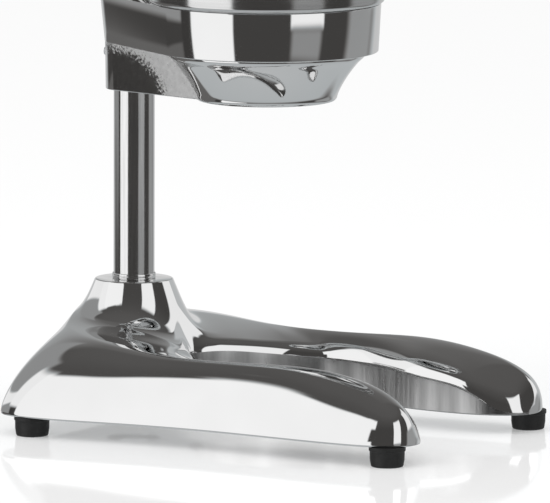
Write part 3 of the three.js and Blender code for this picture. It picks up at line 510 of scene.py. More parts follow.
def swell_of_cone(place, level, lip):
    """How far the column's cone and its fillet lift the crown of the base."""
    radius = np.hypot(place[:, 0], place[:, 1])
    lean = cos(atan(CONE_SLOPE))
    low, high = level - 1, np.full(len(level), CONE_TOP + 60)
    for _ in range(40):
        height = (low + high) / 2
        over_crown = height - level
        off_cone = (radius - CONE_TOP_RADIUS - (CONE_TOP - height) * CONE_SLOPE) * lean
        near = np.maximum(CONE_BLEND - np.abs(over_crown - off_cone), 0) / CONE_BLEND
        inside = np.minimum(over_crown, off_cone) - near**3 * CONE_BLEND / 6 < 0
        low, high = np.where(inside, height, low), np.where(inside, high, height)
    to_lip = np.linalg.norm(place - lip[:, :2], axis=1)
    swell = np.minimum(high, CONE_TOP + 5) - level
    return np.where(radius < CONE_FIELD, swell, 0) * smooth_step(0, LIP_FADE, to_lip)


def base_skin():
    """The skin's points, a ring of them for each section, and the ring places of the wall."""
    half = np.array(BASE_SECTIONS, float)
    mirrored = half[:0:-1].copy()
    mirrored[:, [0, 2, 5]] *= -1
    rows = softened(through(np.concatenate([mirrored, half]), ALONG + 1), 3)
    rim, crest, lip, fullness = rows[:, 0:2], rows[:, 2:5], rows[:, 5:8], rows[:, 8:9]
    outward = rim - crest[:, :2]
    outward /= np.linalg.norm(outward, axis=1)[:, None]
    foot = UNDERSIDE + RIM_RADIUS
    rings = []
    for turn in np.linspace(0, pi / 2, 5)[:-1]:
        rings.append(np.c_[rim - outward * RIM_RADIUS * (1 - sin(turn)),
                           np.full(ALONG + 1, foot - RIM_RADIUS * cos(turn))])
    for turn in np.linspace(0, pi / 2, FLANK_ROWS + 1):
        inward = 1 - np.maximum(cos(turn), 0) ** (2 / fullness)
        rise = np.maximum(sin(turn), 0) ** (2 / fullness[:, 0])
        level = foot + rise * (crest[:, 2] - foot)
        place = rim + (crest[:, :2] - rim) * inward
        swell = swell_of_cone(place, level, lip) * smooth_step(0.6, 1.0, sin(turn))
        rings.append(np.c_[place, level + swell])

    # Over the shoulder, measured square to the lip, and round the lip.
    fall = crest[:, 2] - lip[:, 2]
    width = np.linalg.norm(crest[:, :2] - lip[:, :2], axis=1)
    across = (lip[:, :2] - crest[:, :2]) / width[:, None]
    run = np.gradient(lip[:, :2], axis=0)
    run /= np.linalg.norm(run, axis=1)[:, None]
    square = np.maximum(np.abs(across[:, 0] * run[:, 1] - across[:, 1] * run[:, 0]), 0.3)
    square_width = width * square
    bend = BEND + MORE_BEND * smooth_step(NARROW, WIDE, square_width)
    round_over = np.minimum(SLOT_ROUND, np.minimum(0.45 * fall, 0.5 * width * square))
    last = 1 - round_over / square_width
    steps = [(last * share, 0) for share in np.linspace(0, 1, SHOULDER_ROWS + 1)[1:]]
    for turn in np.linspace(0, pi / 2, LIP_ROWS + 1)[1:]:
        steps.append((1 - round_over * (1 - sin(turn)) / square_width,
                      round_over * (1 - cos(turn))))
    for share, drop in steps:
        place = crest[:, :2] + (lip[:, :2] - crest[:, :2]) * share[:, None]
        level = crest[:, 2] - (fall - round_over) * share**bend
        rings.append(np.c_[place, level + swell_of_cone(place, level, lip) - drop])

    wall_from = len(rings) - 1
    for share in np.linspace(0, 1, WALL_ROWS + 1)[1:]:
        rings.append(np.c_[lip[:, :2], lip[:, 2] + share * (UNDERSIDE + SLOT_FOOT - lip[:, 2])])
    wall_to = len(rings) - 1
    inner, outer = lip[:, :2] + outward * SLOT_FOOT, rim - outward * RIM_RADIUS
    for share in np.linspace(0, 1, BOTTOM_ROWS + 1)[:-1]:
        rings.append(np.c_[inner + share * (outer - inner), np.full(ALONG + 1, UNDERSIDE)])
    return np.stack(rings, axis=1), wall_from, wall_to


def base_casting():
    points, wall_from, wall_to = base_skin()
    along, around = points.shape[:2]
    deselect()
    bpy.ops.mesh.primitive_grid_add(x_subdivisions=around, y_subdivisions=along - 1, size=2)
    piece = named("base")
    mesh = piece.data
    for material in (chrome, cast_chrome_wall, cast_underside):
        mesh.materials.append(material)
    flat = np.empty(len(mesh.vertices) * 3)
    mesh.vertices.foreach_get("co", flat)
    flat = flat.reshape(-1, 3)
    i = np.rint((flat[:, 0] + 1) / 2 * around).astype(int) % around
    j = np.rint((flat[:, 1] + 1) / 2 * (along - 1)).astype(int)
    placed = points[j, i] * MM + np.array([0, COLUMN_Y, 0])
    mesh.vertices.foreach_set("co", placed.ravel())
    lowest = np.array([min(i[v] for v in f.vertices) for f in mesh.polygons])
    highest = np.array([max(i[v] for v in f.vertices) for f in mesh.polygons])
    on_wall = (lowest >= wall_from) & (highest <= wall_to)
    below = (lowest >= wall_to) | (highest - lowest > 1)
    mesh.polygons.foreach_set("material_index", np.where(on_wall, 1, np.where(below, 2, 0)))
    mode("EDIT")
    merged(1e-7)
    bpy.ops.mesh.fill_holes(sides=0)
    select_all()
    bpy.ops.mesh.normals_make_consistent(inside=False)
    bpy.ops.mesh.bisect(plane_co=at(0, 0, CONE_TOP), plane_no=Z, use_fill=True, clear_outer=True)
    mode("OBJECT")

    # The cone's upper edge is rounded, then the holes for the column and its bolt are cut.
    inset, edge_radius, beyond = 0.6, 0.75, CONE_TOP_RADIUS + 3
    rounding = [(CONE_TOP_RADIUS - inset + edge_radius * sin(a),
                 CONE_TOP - edge_radius * (1 - cos(a)))
                for a in np.linspace(0, radians(66), 7)]
    softened_rim = ring("softened_rim", [
        *rounding, (beyond, CONE_TOP - 0.3), (beyond, CONE_TOP + 1),
        (CONE_TOP_RADIUS - inset, CONE_TOP + 1)])
    cut(piece, softened_rim)
    socket = rod("socket", COLUMN_BORE, 24, 75)
    recess = turned("recess", [(0, 5), (13, 5), (13, 18.5), (5.3, 18.5), (5.3, 27), (0, 27)])
    cut(piece, socket, recess)
    finished(piece, "stand", "base_casting", "chrome", angle=40)


FOOT_PLACES = {
    "front_left": (-70.3, -181.2), "front_right": (70.3, -181.2),
    "rear_left": (-72.8, 14.0), "rear_right": (72.8, 14.0),
}


def rubber_foot(name, x, y):
    profile = [
        (2.65, 4.5), (5, 4.5), (5, 0.3), (5.3, 0), (6.9, 0), (7.5, 0.2), (7.8, 0.6), (7.9, 1.1),
        (8.3, 3.6), (8.35, 7.2), (8.5, 7.5), (8.75, 7.7), (8.8, 8.1), (8.8, 9.2), (8.7, 9.45),
        (8.5, 9.5), (2.65, 9.5)]
    piece = ring("rubber_foot_" + name, profile, (x, y, 0), Z, 64)
    finished(piece, "stand", "foot_" + name, "black_rubber")


def foot_screw(name, x, y):
    profile = [(0, 1.6), (3.9, 1.6), (4.2, 1.75), (4.4, 2.1), (4.4, 4.2), (2.5, 4.2), (2.5, 15.3),
               (2.2, 15.5), (0, 15.5)]
    piece = turned("screw_" + name, profile, (x, y, 0), Z, 40)
    keyed(piece, (2.2, 0, 3.0, (x, y, 0)), "stand", "foot_screw_" + name)


# The column: a ground bar with a rack milled in its front and a keyway in its back.
TOOTH_PITCH = 2 * pi
RACK_TIP = 9.0
RACK_ROOT = 4.5
HALF_TOOTH = TOOTH_PITCH / 4 - 0.1
TOOTH_FLANK = tan(radians(20))
RUN_OUT, RUN_OUT_LENGTH, RACK_WIDTH = 13, 8.5, 26


def rack_cutter():
    """The gaps between the teeth, run out to the surface at both ends."""
    tip = HALF_TOOTH - 2 * TOOTH_FLANK
    root = HALF_TOOTH + 2.5 * TOOTH_FLANK
    outline = []
    for k in range(1, -14, -1):
        middle = PIVOT_Z + k * TOOTH_PITCH
        outline += [(-RACK_ROOT, middle + root), (-RACK_TIP, middle + tip)]
        outline += [(-RACK_TIP, middle - tip), (-RACK_ROOT, middle - root)]
    low = outline[-1][1] - TOOTH_PITCH / 2 + root
    high = PIVOT_Z + 2 * TOOTH_PITCH - root
    outline += [(-RACK_ROOT, low), (-RUN_OUT, low - RUN_OUT_LENGTH)]
    outline += [(-RUN_OUT, high + RUN_OUT_LENGTH), (-RACK_ROOT, high)]
    points = [at(-RACK_WIDTH / 2, y, z) for y, z in outline]
    return plate("rack_cutter", points, X * RACK_WIDTH * MM)


def column():
    piece = turned("post", [
        (0, 24.3), (9, 24.3), (10, 25.3), (10, 407.1), (9.8, 407.7), (9.3, 408.15), (9, 408.3),
        (0, 408.3)], (0, 0, 0), Z, 160)
    keyway_side = ((7.5, 266), (13, 266), (13, 415), (7.5, 415))
    keyway = plate("keyway", [at(-2, y, z) for y, z in keyway_side], X * 4 * MM)
    round_end = rod("round_end", 2, 7.5, 13, (0, 0, 266), Y, 32)
    low_hole = turned("low_hole", [(0, 20), (AXLE_BORE, 20), (AXLE_BORE, 46.6), (0, 49)], steps=48)
    top_hole = turned("top_hole", [
        (0, 392), (3.15, 394), (3.15, 407), (4, 408.3), (4, 412), (0, 412)], steps=48)
    cut(piece, rack_cutter(), keyway, round_end, low_hole, top_hole)
    finished(piece, "stand", "column", "polished_steel", angle=25)


def foot_ring():
    profile = [
        (COLUMN_BORE, 69.8), (10.6, 69.8), (10.7, 69.95), (10.7, 70.5), (10.6, 70.65),
        (10.45, 70.7), (10.45, 70.9), (10.6, 70.95), (10.68, 71.1), (10.68, 71.7), (10.55, 72.05),
        (10.3, 72.2), (COLUMN_BORE, 72.2)]
    piece = ring("column_ring", profile, (0, 0, 0), Z, 128)
    finished(piece, "stand", "column_foot_ring", "polished_steel")


def hex_bolt(name, radius, head_low, head_high, shank, shank_high, centre=(0, 0, 0)):
    """A hexagon bolt pointing up, its corners turned down on the lower face."""
    corner = radius * 1.02
    blank = turned(name, [
        (0, head_low), (radius * 0.83, head_low), (corner, head_low + radius * 0.11),
        (corner, head_high), (0, head_high)], centre, steps=64)
    worked(blank, "INTERSECT",
           [hexagon(name + "_hex", radius, head_low - 1, head_high + 1, centre)])
    chamfer = 0.8
    shaft = turned(name + "_shank", [
        (0, head_high - 1), (shank, head_high - 1), (shank, shank_high - chamfer),
        (shank - chamfer, shank_high), (0, shank_high)], centre, steps=48)
    fused(blank, shaft)
    return blank


def washer(name, inner, outer, low, high, centre=(0, 0, 0), along=Z):
    soft = (high - low) * 0.25
    profile = [(inner, low), (outer - soft, low), (outer, low + soft), (outer, high - soft),
               (outer - soft, high), (inner, high)]
    return ring(name, profile, centre, along, 64)


def column_fixing():
    finished(washer("column_plate", AXLE_BORE, 11, 16.6, 18.2), "stand", "column_washer",
             "zinc_steel")
    bolt = hex_bolt("column_screw", 8.5, 10.8, 16.3, 5, 46.3)
    finished(bolt, "stand", "column_bolt", "zinc_steel")


# The bracket: collar, tapered band, ring and funnel in one casting.


def collar_outline(rear, front, height):
    """Round a small circle at the column and a large one at the ring, with straight sides."""
    lean = asin((front - rear) / REACH)
    rear_round = (rear, 0, lean, pi - 2 * lean, 28)
    front_round = (front, REACH, pi - lean, pi + 2 * lean, 120)
    points = []
    for radius, forward, start, sweep, steps in (rear_round, front_round):
        for i in range(steps + 1):
            angle = start + i / steps * sweep
            points.append(at(radius * cos(angle), radius * sin(angle) - forward, height))
    return points


def tapered(name, low, high):
    piece = bridged(name, collar_outline(*low), collar_outline(*high))
    eased(piece, 0.5, 3, 60)
    return piece


def funnel_bracket():
    band = tapered("bracket", (14.35, 54.2, 185.5), (16.7, 55.5, 209))
    gusset = tapered("gusset", (13.9, 29.2, 162.5), (14.3, 29.2, 187))
    outside = [(33.3, 161.7), (34.2, 162.8), (34.9, 165.2), (37.3, 170), (40.5, 175), (44.4, 180),
               (47.6, 183.2), (48.2, 186)]
    funnel = turned("funnel", [
        (0, 161.5), (32.7, 161.5), *rounded_curve(outside), (0, 186)], BOWL_MIDDLE, Z, 160)
    gusset_chrome = sanded_gusset()
    for part, index in ((band, 0), (gusset, 1), (funnel, 0)):
        part.data.materials.append(chrome)
        part.data.materials.append(gusset_chrome)
        part.data.polygons.foreach_set("material_index", [index] * len(part.data.polygons))
    fused(band, gusset, funnel)
    inside = [(29.4, 160), (29.5, 164), (30.2, 167.4), (31.3, 168.7), (33.7, 173.6),
              (36.9, 178.6), (40.8, 183.6), (44.4, 185.6)]
    bore = turned("bore", [
        (0, 155), (30.6, 155), (30.0, 161.3), *rounded_curve(inside), (51.5, 194.6),
        (51.5, 208.4), (52.2, 209.1), (52.2, 214), (0, 214)], BOWL_MIDDLE, Z, 160)
    column_bore = turned("column_bore", [
        (0, 155), (10.8, 155), (10.8, 162.1), (COLUMN_BORE, 162.8), (COLUMN_BORE, 208.5),
        (10.8, 209.2), (10.8, 214), (0, 214)])
    screw_bore = rod("screw_bore", SET_SCREW_BORE, 7, 20, (0, 0, 180), Y, 32)
    cut(band, bore, column_bore, screw_bore)
    finished(band, "stand", "funnel_bracket", "chrome", angle=30)


def set_screw(name, end, height, node):
    """A set screw along Y with a hexagon socket in its outer end."""
    radius, start = 2.5, 10.3
    profile = [(0, start), (radius - 0.5, start), (radius, start + 0.5), (radius, end - 0.4),
               (radius - 0.4, end), (0, end)]
    piece = turned(name, profile, (0, 0, height), Y, 40)
    keyed(piece, (radius * 0.55, end - radius, end + 2, (0, 0, height), Y), "stand", node)


# The bowl and the ribbed cone.
DRAIN_SLOTS = 20


def strainer_bowl():
    profile = [
        (0, 195.5), *arc(47.6, 198.5, 3, -90, 0, 8), (50.6, 209.05),
        *arc(54.7, 211.65, 2.6, -90, 0, 8), *arc(57.3, 234.6, 1.4, -90, 180, 14), (56.1, 232),
        (56.1, 211.65), *arc(54.7, 211.65, 1.4, 0, -90, 6), (49.4, 210.25),
        *arc(47.6, 198.5, 1.8, 0, -90, 6), (0, 196.7)]
    piece = turned("bowl", profile, BOWL_MIDDLE, Z, 180)
    outline = arc(42.7, 0, 1.3, -90, 90, 8) + arc(34.3, 0, 1.3, 90, 270, 8)
    slots = []
    for i in range(DRAIN_SLOTS):
        turn = Matrix.Rotation(2 * pi * i / DRAIN_SLOTS, 3, "Z")
        points = [at(0, -REACH, 190) + turn @ Vector((x * MM, y * MM, 0)) for x, y in outline]
        slots.append(plate("drain_slot", points, Z * 10 * MM))
    cut(piece, joined(slots))
    finished(piece, "stand", "strainer_bowl", "brushed_steel", angle=35)


def ribbed_cone():
    """A turned cone whose wall is drawn in between its ribs."""
    radius, low, high, ribs = 38.1, 199.7 + 0.3, 237.5 + 0.3, 10
    # Shares of the height and of the radius, and how far the ribs stand out there.
    side = rounded_curve([
        (0.0, 0.86, 0), (0.08, 0.84, 0.6), (0.25, 0.78, 1), (0.45, 0.68, 1), (0.65, 0.53, 1),
        (0.82, 0.36, 0.8), (0.94, 0.19, 0.4), (1.0, 0.06, 0)], 7)
    heights = [low + share * (high - low) for share, _, _ in side]
    profile = [(0, 197), (radius + 3.0, 197), (radius + 3.4, 197.4), (radius + 3.4, 199.5),
               (radius + 3.0, 200), (radius * 0.88, 200)]
    profile += [(share * radius, height) for height, (_, share, _) in zip(heights, side)]
    profile += [(0, high + 0.05)]
    piece = turned("juice_cone", profile, BOWL_MIDDLE, Z, 200)
    swells = [swell for _, _, swell in side]
    middle = at(*BOWL_MIDDLE)
    for vertex in piece.data.vertices:
        z = vertex.co.z / MM
        out = Vector((vertex.co.x - middle.x, vertex.co.y - middle.y))
        if z < low + 0.05 or out.length < SAME_PLACE:
            continue
        valley = abs(sin(atan2(out.y, out.x) * ribs / 2)) ** 0.8
        swell = np.interp(z, heights, swells) * (1.7 - 3.4 * valley)
        vertex.co.x += out.x / out.length * swell * MM
        vertex.co.y += out.y / out.length * swell * MM
    finished(piece, "stand", "reamer_cone", "cast_aluminium", angle=40)


# The stops on the column.


def stops_on_column():
    collar = ring("lower_collar", [
        (COLUMN_BORE, 249.8), (15.0, 249.8), (15.5, 250.3), (15.5, 260.3), (15.0, 260.8),
        (COLUMN_BORE, 260.8)])
    screw_height = 255.3
    cut(collar, rod("collar_bore", SET_SCREW_BORE, 7, 20, (0, 0, screw_height), Y, 32))
    finished(collar, "stand", "stop_collar", "polished_steel")
    set_screw("collar_screw", 15.2, screw_height, "stop_collar_screw")
    buffer = ring("buffer_ring", [
        (COLUMN_BORE, 261.1), (13.1, 261.1), (13.5, 261.7), (13.5, 263.1), (13.1, 263.7),
        (COLUMN_BORE, 263.7)])
    finished(buffer, "stand", "stop_buffer", "black_rubber")


def column_cap():
    profile = [
        (3.15, 408.6), (13.1, 408.6), (13.5, 409.0), (13.5, 411.85), (13.3, 412.8), (12.7, 413.7),
        (11.8, 414.5), (10.9, 414.95), (10.25, 415.1), (5.6, 415.1), (5.3, 414.8), (5.3, 412.1),
        (3.15, 412.1)]
    finished(ring("post_cap", profile), "stand", "column_cap", "chrome")


def cap_screw():
    profile = [(0, 394.3), (2.2, 394.3), (3, 395.1), (3, 412.4), (4.9, 412.4), (5, 412.5),
               (5, 414.4), (4.4, 415.0), (0, 415.0)]
    piece = turned("cap_bolt", profile, steps=48)
    keyed(piece, (2.6, 413.2, 417), "stand", "column_cap_screw")


# The press head. Heights here are from the lever's axle, at the top of the stroke.
BOSS_HALF = 15.6
GEAR_SPACE_HALF = 6.4
GUIDE_MIDDLE = (0, 0, PIVOT_Z - 10)
BELL_TOP = -44.3
BELL_SHOULDER = BELL_TOP - 6
BELL_WALL = 3


def rounded_outline(corners, steps=6):
    """A closed outline of corners, each with the reach of its own rounding."""
    out = []
    for k, (y, z, radius) in enumerate(corners):
        corner = Vector((y, z))
        if radius <= 0:
            out.append((y, z))
            continue
        before = Vector(corners[k - 1][:2]) - corner
        after = Vector(corners[(k + 1) % len(corners)][:2]) - corner
        reach = min(radius, before.length * 0.45, after.length * 0.45)
        a, b = corner + before.normalized() * reach, corner + after.normalized() * reach
        for i in range(steps + 1):
            t = i / steps
            out.append(tuple(a * (1 - t) ** 2 + corner * 2 * t * (1 - t) + b * t * t))
    return out


def side_plate(name, outline, half):
    return plate(name, [at(-half, y, PIVOT_Z + z) for y, z in outline], X * 2 * half * MM)


def arm_space():
    """Where the arm swings, with room on both sides of it."""
    far, room = 150.0, 11 + 1.5
    pressed = OPEN_ANGLE - LEVER_SWING
    drop = 11.3 / cos(pressed)
    outline = [
        (PIVOT_Y, -drop), (PIVOT_Y - far, -drop + far * tan(pressed)), (PIVOT_Y - far, far),
        (PIVOT_Y + room - far / tan(OPEN_ANGLE), far), (PIVOT_Y + room, 0)]
    return side_plate("arm_space", outline, GEAR_SPACE_HALF)


def press_head():
    side = [
        (0, -42, 0), (-59.3, -42, 2), (-62.2, -44, 0), (-74.1, -44, 0), (-74.1, -25.2, 6),
        (-70.4, -21.1, 6), (-67.4, -14.3, 8), (-64.5, -4.1, 10), (-60.8, 4.1, 10),
        (-55.6, 11.2, 10), (-48.9, 15.6, 8), (-41.5, 17.3, 6), (-34.1, 17, 6), (-27.4, 18.7, 8),
        (-21.5, 24.5, 8), (-14.8, 34, 3), (0, 34, 0)]
    body = side_plate("slide_head", rounded_outline(side), 14)
    eased(body, 1.6, 4, 50)
    sleeve = turned("sleeve", [
        (0, -42), (16.2, -42), (17, -41.2), (17, 33.2), (16.2, 34), (0, 34)], HEAD_MIDDLE, Z, 128)
    nose = turned("nose", [
        (0, -44), (14.1, -44), (14.7, -43.7), (15, -43), (15, -31), (14.6, -29.2), (13.5, -27.2),
        (12, -26), (10, -25.1), (6, -24.6), (0, -24.5)], BELL_MIDDLE)
    bosses = turned("bosses", [
        (0, -BOSS_HALF), (9.3, -BOSS_HALF), (10, -14.9), (10, 14.9), (9.3, BOSS_HALF),
        (0, BOSS_HALF)], PIVOT, X)
    fused(body, sleeve, nose, bosses)
    bore = turned("head_bore", [
        (0, -46), (13, -46), (12.25, -41.3), (12.25, 33.3), (13, 35), (13, 40), (0, 40)],
        HEAD_MIDDLE)
    gear_space = rod("gear_space", 37.5, -GEAR_SPACE_HALF, GEAR_SPACE_HALF, PIVOT, X, 128)
    swing = arm_space()
    pin_bore = rod("pin_bore", AXLE_BORE, -20, 20, PIVOT, X, 64)
    bolt_hole = turned("bolt_hole", [
        (0, -48), (4.15, -48), (4.15, -28.7), (0, -27)], BELL_MIDDLE, Z, 48)
    guide_hole = rod("guide_hole", 3.15, 10, 24, GUIDE_MIDDLE, Y, 40)
    cut(body, bore, gear_space, swing, pin_bore, bolt_hole, guide_hole)
    finished(body, "head", "press_head", "chrome", angle=30)


def bush(name, low, high, node):
    profile = [(10.1, low), (11.8, low), (12.1, low + 0.3), (12.1, high - 0.3), (11.8, high),
               (10.4, high), (10.1, high - 0.3)]
    finished(ring(name, profile, HEAD_MIDDLE), "head", node, "brass")


def guide_screw():
    piece = turned("guide", [
        (0, 7.8), (1.6, 7.8), (1.9, 8.1), (1.9, 10.3), (2.5, 10.3), (3, 10.8), (3, 18.8),
        (2.6, 19.2), (0, 19.2)], GUIDE_MIDDLE, Y, 40)
    keyed(piece, (1.6, 16.2, 21, GUIDE_MIDDLE, Y), "head", "guide_screw")


def press_bell():
    rim, radius = -90.0, 50
    skirt = rim + 7
    # Shares of the radius and of the height between the skirt and the shoulder.
    outside = [(1.0, 0.0), (0.985, 0.12), (0.93, 0.42), (0.8, 0.72), (0.6, 0.92), (0.4, 1.0)]
    curve = rounded_curve([(share * radius, skirt + rise * (BELL_SHOULDER - skirt))
                           for share, rise in outside], 8)
    inner = [(r - BELL_WALL, z - BELL_WALL) for r, z in reversed(curve)]
    profile = [
        (47.6, rim), (49.4, rim), (49.8, rim + 0.2), (50, rim + 0.6), *curve,
        (14, BELL_SHOULDER + 0.1), (13.3, BELL_SHOULDER + 0.5), (13, BELL_SHOULDER + 1.2),
        (13, BELL_TOP - 0.6), (12.4, BELL_TOP), (4.3, BELL_TOP), (4.3, BELL_SHOULDER - BELL_WALL),
        *inner, (47, rim + 0.6), (47.2, rim + 0.15)]
    piece = ring("dome", profile, BELL_MIDDLE, Z, 180)
    finished(piece, "head", "press_bell", "cast_aluminium", angle=35)


def bell_fixing():
    top = BELL_SHOULDER - BELL_WALL - 0.3
    bell_washer = washer("dome_washer", 4.15, 9, top - 1.4, top, BELL_MIDDLE)
    finished(bell_washer, "head", "bell_washer", "zinc_steel")
    head_top = top - 1.7
    bolt = hex_bolt("dome_bolt", 6.5, head_top - 4.6, head_top, 4, -29, BELL_MIDDLE)
    finished(bolt, "head", "bell_bolt", "zinc_steel")


def pivot():
    gap, washer_thickness, nut_height, end = 0.3, 1.4, 5.5, 0.9
    far = BOSS_HALF + gap + washer_thickness + gap + nut_height + end
    pin = turned("axle", [
        (0, -far), (4.4, -far), (5, 0.6 - far), (5, far - 0.6), (4.4, far), (0, far)], PIVOT, X, 64)
    finished(pin, "head", "pivot_pin", "polished_steel")
    low, high = 17.6, 23.1
    crown_radius, crown_rise = 6.2, 5.6
    for side, sign in (("right", 1), ("left", -1)):
        along = X * sign
        axle_washer = washer("axle_washer_" + side, AXLE_BORE, 9, 15.9, 17.3, PIVOT, along)
        finished(axle_washer, "head", "pivot_washer_" + side, "zinc_steel")
        nut = turned("axle_nut_" + side, [
            (0, low), (6.7, low), (8.1, low + 0.9), (8.1, high - 0.9), (6.7, high), (0, high)],
            PIVOT, along, 64)
        worked(nut, "INTERSECT", [hexagon("nut_hex", 8, low - 1, high + 1, PIVOT, along)])
        dome = [(crown_radius * cos(a), high + crown_rise * sin(a))
                for a in np.linspace(0.25, pi / 2, 10)[:-1]]
        crown = turned("crown", [
            (0, low + 1), (crown_radius, low + 1), (crown_radius, high), (6.05, high + 1.2), *dome,
            (0, high + crown_rise)], PIVOT, along, 64)
        fused(nut, crown)
        cut(nut, rod("nut_bore", AXLE_BORE, 14, far + gap, PIVOT, along, 48))
        finished(nut, "head", "pivot_nut_" + side, "chrome")


# The lever. Its outlines are figures along the arm and across it.
LEVER_MIDDLE = at(*PIVOT)
ARM_ALONG = Vector((0, -cos(OPEN_ANGLE), sin(OPEN_ANGLE)))
ARM_ACROSS = Vector((0, sin(OPEN_ANGLE), cos(OPEN_ANGLE)))
ARM_HALF = 6


def turned_on_arm(name, profile, steps=72):
    """A profile of (radius, place along the arm) spun round the arm."""
    points = [LEVER_MIDDLE + X * r * MM + ARM_ALONG * h * MM for r, h in profile]
    return spun(name, points, LEVER_MIDDLE, ARM_ALONG, steps)


def arm_plate(name, outline):
    side = LEVER_MIDDLE - X * ARM_HALF * MM
    points = [side + ARM_ALONG * a * MM + ARM_ACROSS * c * MM for a, c in outline]
    return plate(name, points, X * 2 * ARM_HALF * MM)


def involute(angle):
    return tan(angle) - angle


def sector_outline():
    """The toothed sector: fifteen teeth of thirty-four, then the round of the hub."""
    pitch, tip, root, hub, backlash = 34.0, 36.0, 31.5, 17, 0.2
    cut_teeth, all_teeth = 15, 34
    pressure = radians(20)
    base = pitch * cos(pressure)
    tooth = 2 * pi / all_teeth
    mesh_angle = pi - OPEN_ANGLE

    def half_angle(radius):
        at_pitch = pi / (2 * all_teeth) - backlash / (4 * pitch)
        return at_pitch + involute(pressure) - involute(acos(min(1, base / radius)))

    radii = [base + (tip - base) * s for s in (0, 0.15, 0.35, 0.55, 0.75, 0.92)]
    flank = [(root, half_angle(base)), *((r, half_angle(r)) for r in radii),
             (tip, half_angle(tip) * 0.8)]
    points = []
    for k in range(cut_teeth):
        middle = mesh_angle + (k - 1.5) * tooth
        points += [(r, middle - half) for r, half in flank]
        points += [(r, middle + half) for r, half in reversed(flank)]
    start = mesh_angle + (cut_teeth - 1) * tooth
    end = 2 * pi - radians(56)
    points += [(hub, start + (end - start) * i / 24) for i in range(25)]
    return [(r * cos(a), r * sin(a)) for r, a in points]


def lever_arm():
    sector = arm_plate("lever", sector_outline() + [(26, -9), (26, 9)])
    arm = arm_plate("arm", [
        (14, -10.9), (34, -11), (89, -7), (93, -6.9), (95.6, -5.2), (96, -3), (96, 3),
        (95.6, 5.2), (93, 6.9), (89, 7), (34, 11), (14, 10.9)])
    eased(arm, 1.8, 4, 40)
    tang = turned_on_arm("tang", [(0, 88), (5, 88), (5, 204.8), (4.2, 206), (0, 206)])
    fused(sector, arm, tang)
    bore = turned("hub_bore", [
        (0, -9), (7.9, -9), (7.15, -5.5), (7.15, 5.5), (7.9, 9), (0, 9)], PIVOT, X, 64)
    cut(sector, bore)
    finished(sector, "lever", "lever_arm", "chrome", angle=28)


def lever_grip():
    near, far, radius = 105.6, 200.0, 14
    outside = [
        (0.8, 0.0), (0.85, 0.015), (0.88, 0.05), (0.865, 0.12), (0.85, 0.2), (0.865, 0.32),
        (0.9, 0.45), (0.955, 0.6), (1.0, 0.75), (0.998, 0.84), (0.98, 0.9), (0.94, 0.95),
        (0.86, 0.98), (0.75, 1.0)]
    grooves, half_groove, groove_depth = (0.30, 0.36, 0.42, 0.48, 0.54), 0.009, 0.5
    grooved = []
    for r, h in rounded_curve([(r * radius, near + (far - near) * h) for r, h in outside], 8):
        share = (h - near) / (far - near)
        groove = max(1 - ((share - place) / half_groove) ** 2 for place in grooves)
        grooved.append((r - groove_depth * max(groove, 0), h))
    grip = turned_on_arm("grip", [
        (AXLE_BORE, near), *grooved, (AXLE_BORE, far), (AXLE_BORE, near)], 96)
    finished(grip, "lever", "lever_grip", "black_plastic", angle=40)


def lever_fittings():
    hub_bush = ring("hub_bush", [
        (5.1, -6), (6.8, -6), (7, -5.8), (7, 5.8), (6.8, 6), (5.1, 6)], PIVOT, X, 64)
    finished(hub_bush, "lever", "lever_bush", "brass")
    ferrule = turned_on_arm("ferrule", [
        (AXLE_BORE, 96.3), (8.6, 96.3), (9.2, 96.6), (9.9, 97.6), (10.3, 98.6), (10.5, 99.6),
        (10.5, 104.6), (10.2, 105.1), (9.7, 105.3), (AXLE_BORE, 105.3), (AXLE_BORE, 96.3)])
    finished(ferrule, "lever", "lever_ferrule", "chrome")
    lever_grip()
    nut = turned_on_arm("end_nut", [
        (0, 206.3), (AXLE_BORE, 206.3), (AXLE_BORE, 200.3), (9, 200.3), (9.5, 200.8),
        (9.5, 204.5), (9.35, 205.6), (8.9, 206.6), (8.1, 207.3), (6.6, 208), (4.8, 208.5),
        (3, 208.76), (0, 208.8)])
    finished(nut, "lever", "grip_end_nut", "chrome")


# The studio: a white floor, soft light, and what polished metal mirrors, seen from FRONT.
FRONT = Vector((-0.868, -0.497, 0))
RIGHT = Vector((0.497, -0.868, 0))
# Softboxes and dark gaps, in degrees round from the front, right positive, and above the table:
# from, to, soft edge, lowest, highest, soft edge, lean, level. A later one covers an earlier one.
PANELS = [
    (-152, -95, 5, -5, 52, 1.5, 0, 0.31),
    (-152, -95, 5, -34, -14, 0.8, 0, 0.14),
    (92, 132, 5, -26, 6, 4, 0, 0.34),
    (-96, -86, 1.5, -30, 12, 4, 0, 0.05),
    (-150, -97, 4, -2.2, 7.8, 1.5, 0.36, 0.95),
    (-102, -76, 3, 14, 45, 3, 0, 1.0),
    (-82.5, -34.0, 1.2, -30, 3, 1.5, 0, 1.06),
    (-82.5, -39.0, 1.2, 0, 44, 1.5, 0, 1.06),
    (-50, -32.0, 1.2, 28, 44, 2.5, 0, 1.06),
    (24.5, 60, 1.2, -6, 44, 3, 0, 1.0),
    (26, 58, 3, -26, -6, 5, 0, 0.3),
    (126, 156, 6, 0, 28, 5, 0, 0.55),
    (97, 128, 2, 6, 46, 3, 0, 0.95),
]
# A leaning panel's heights are measured from here.
LEAN_FROM, LEAN_HEIGHT = -100, 20
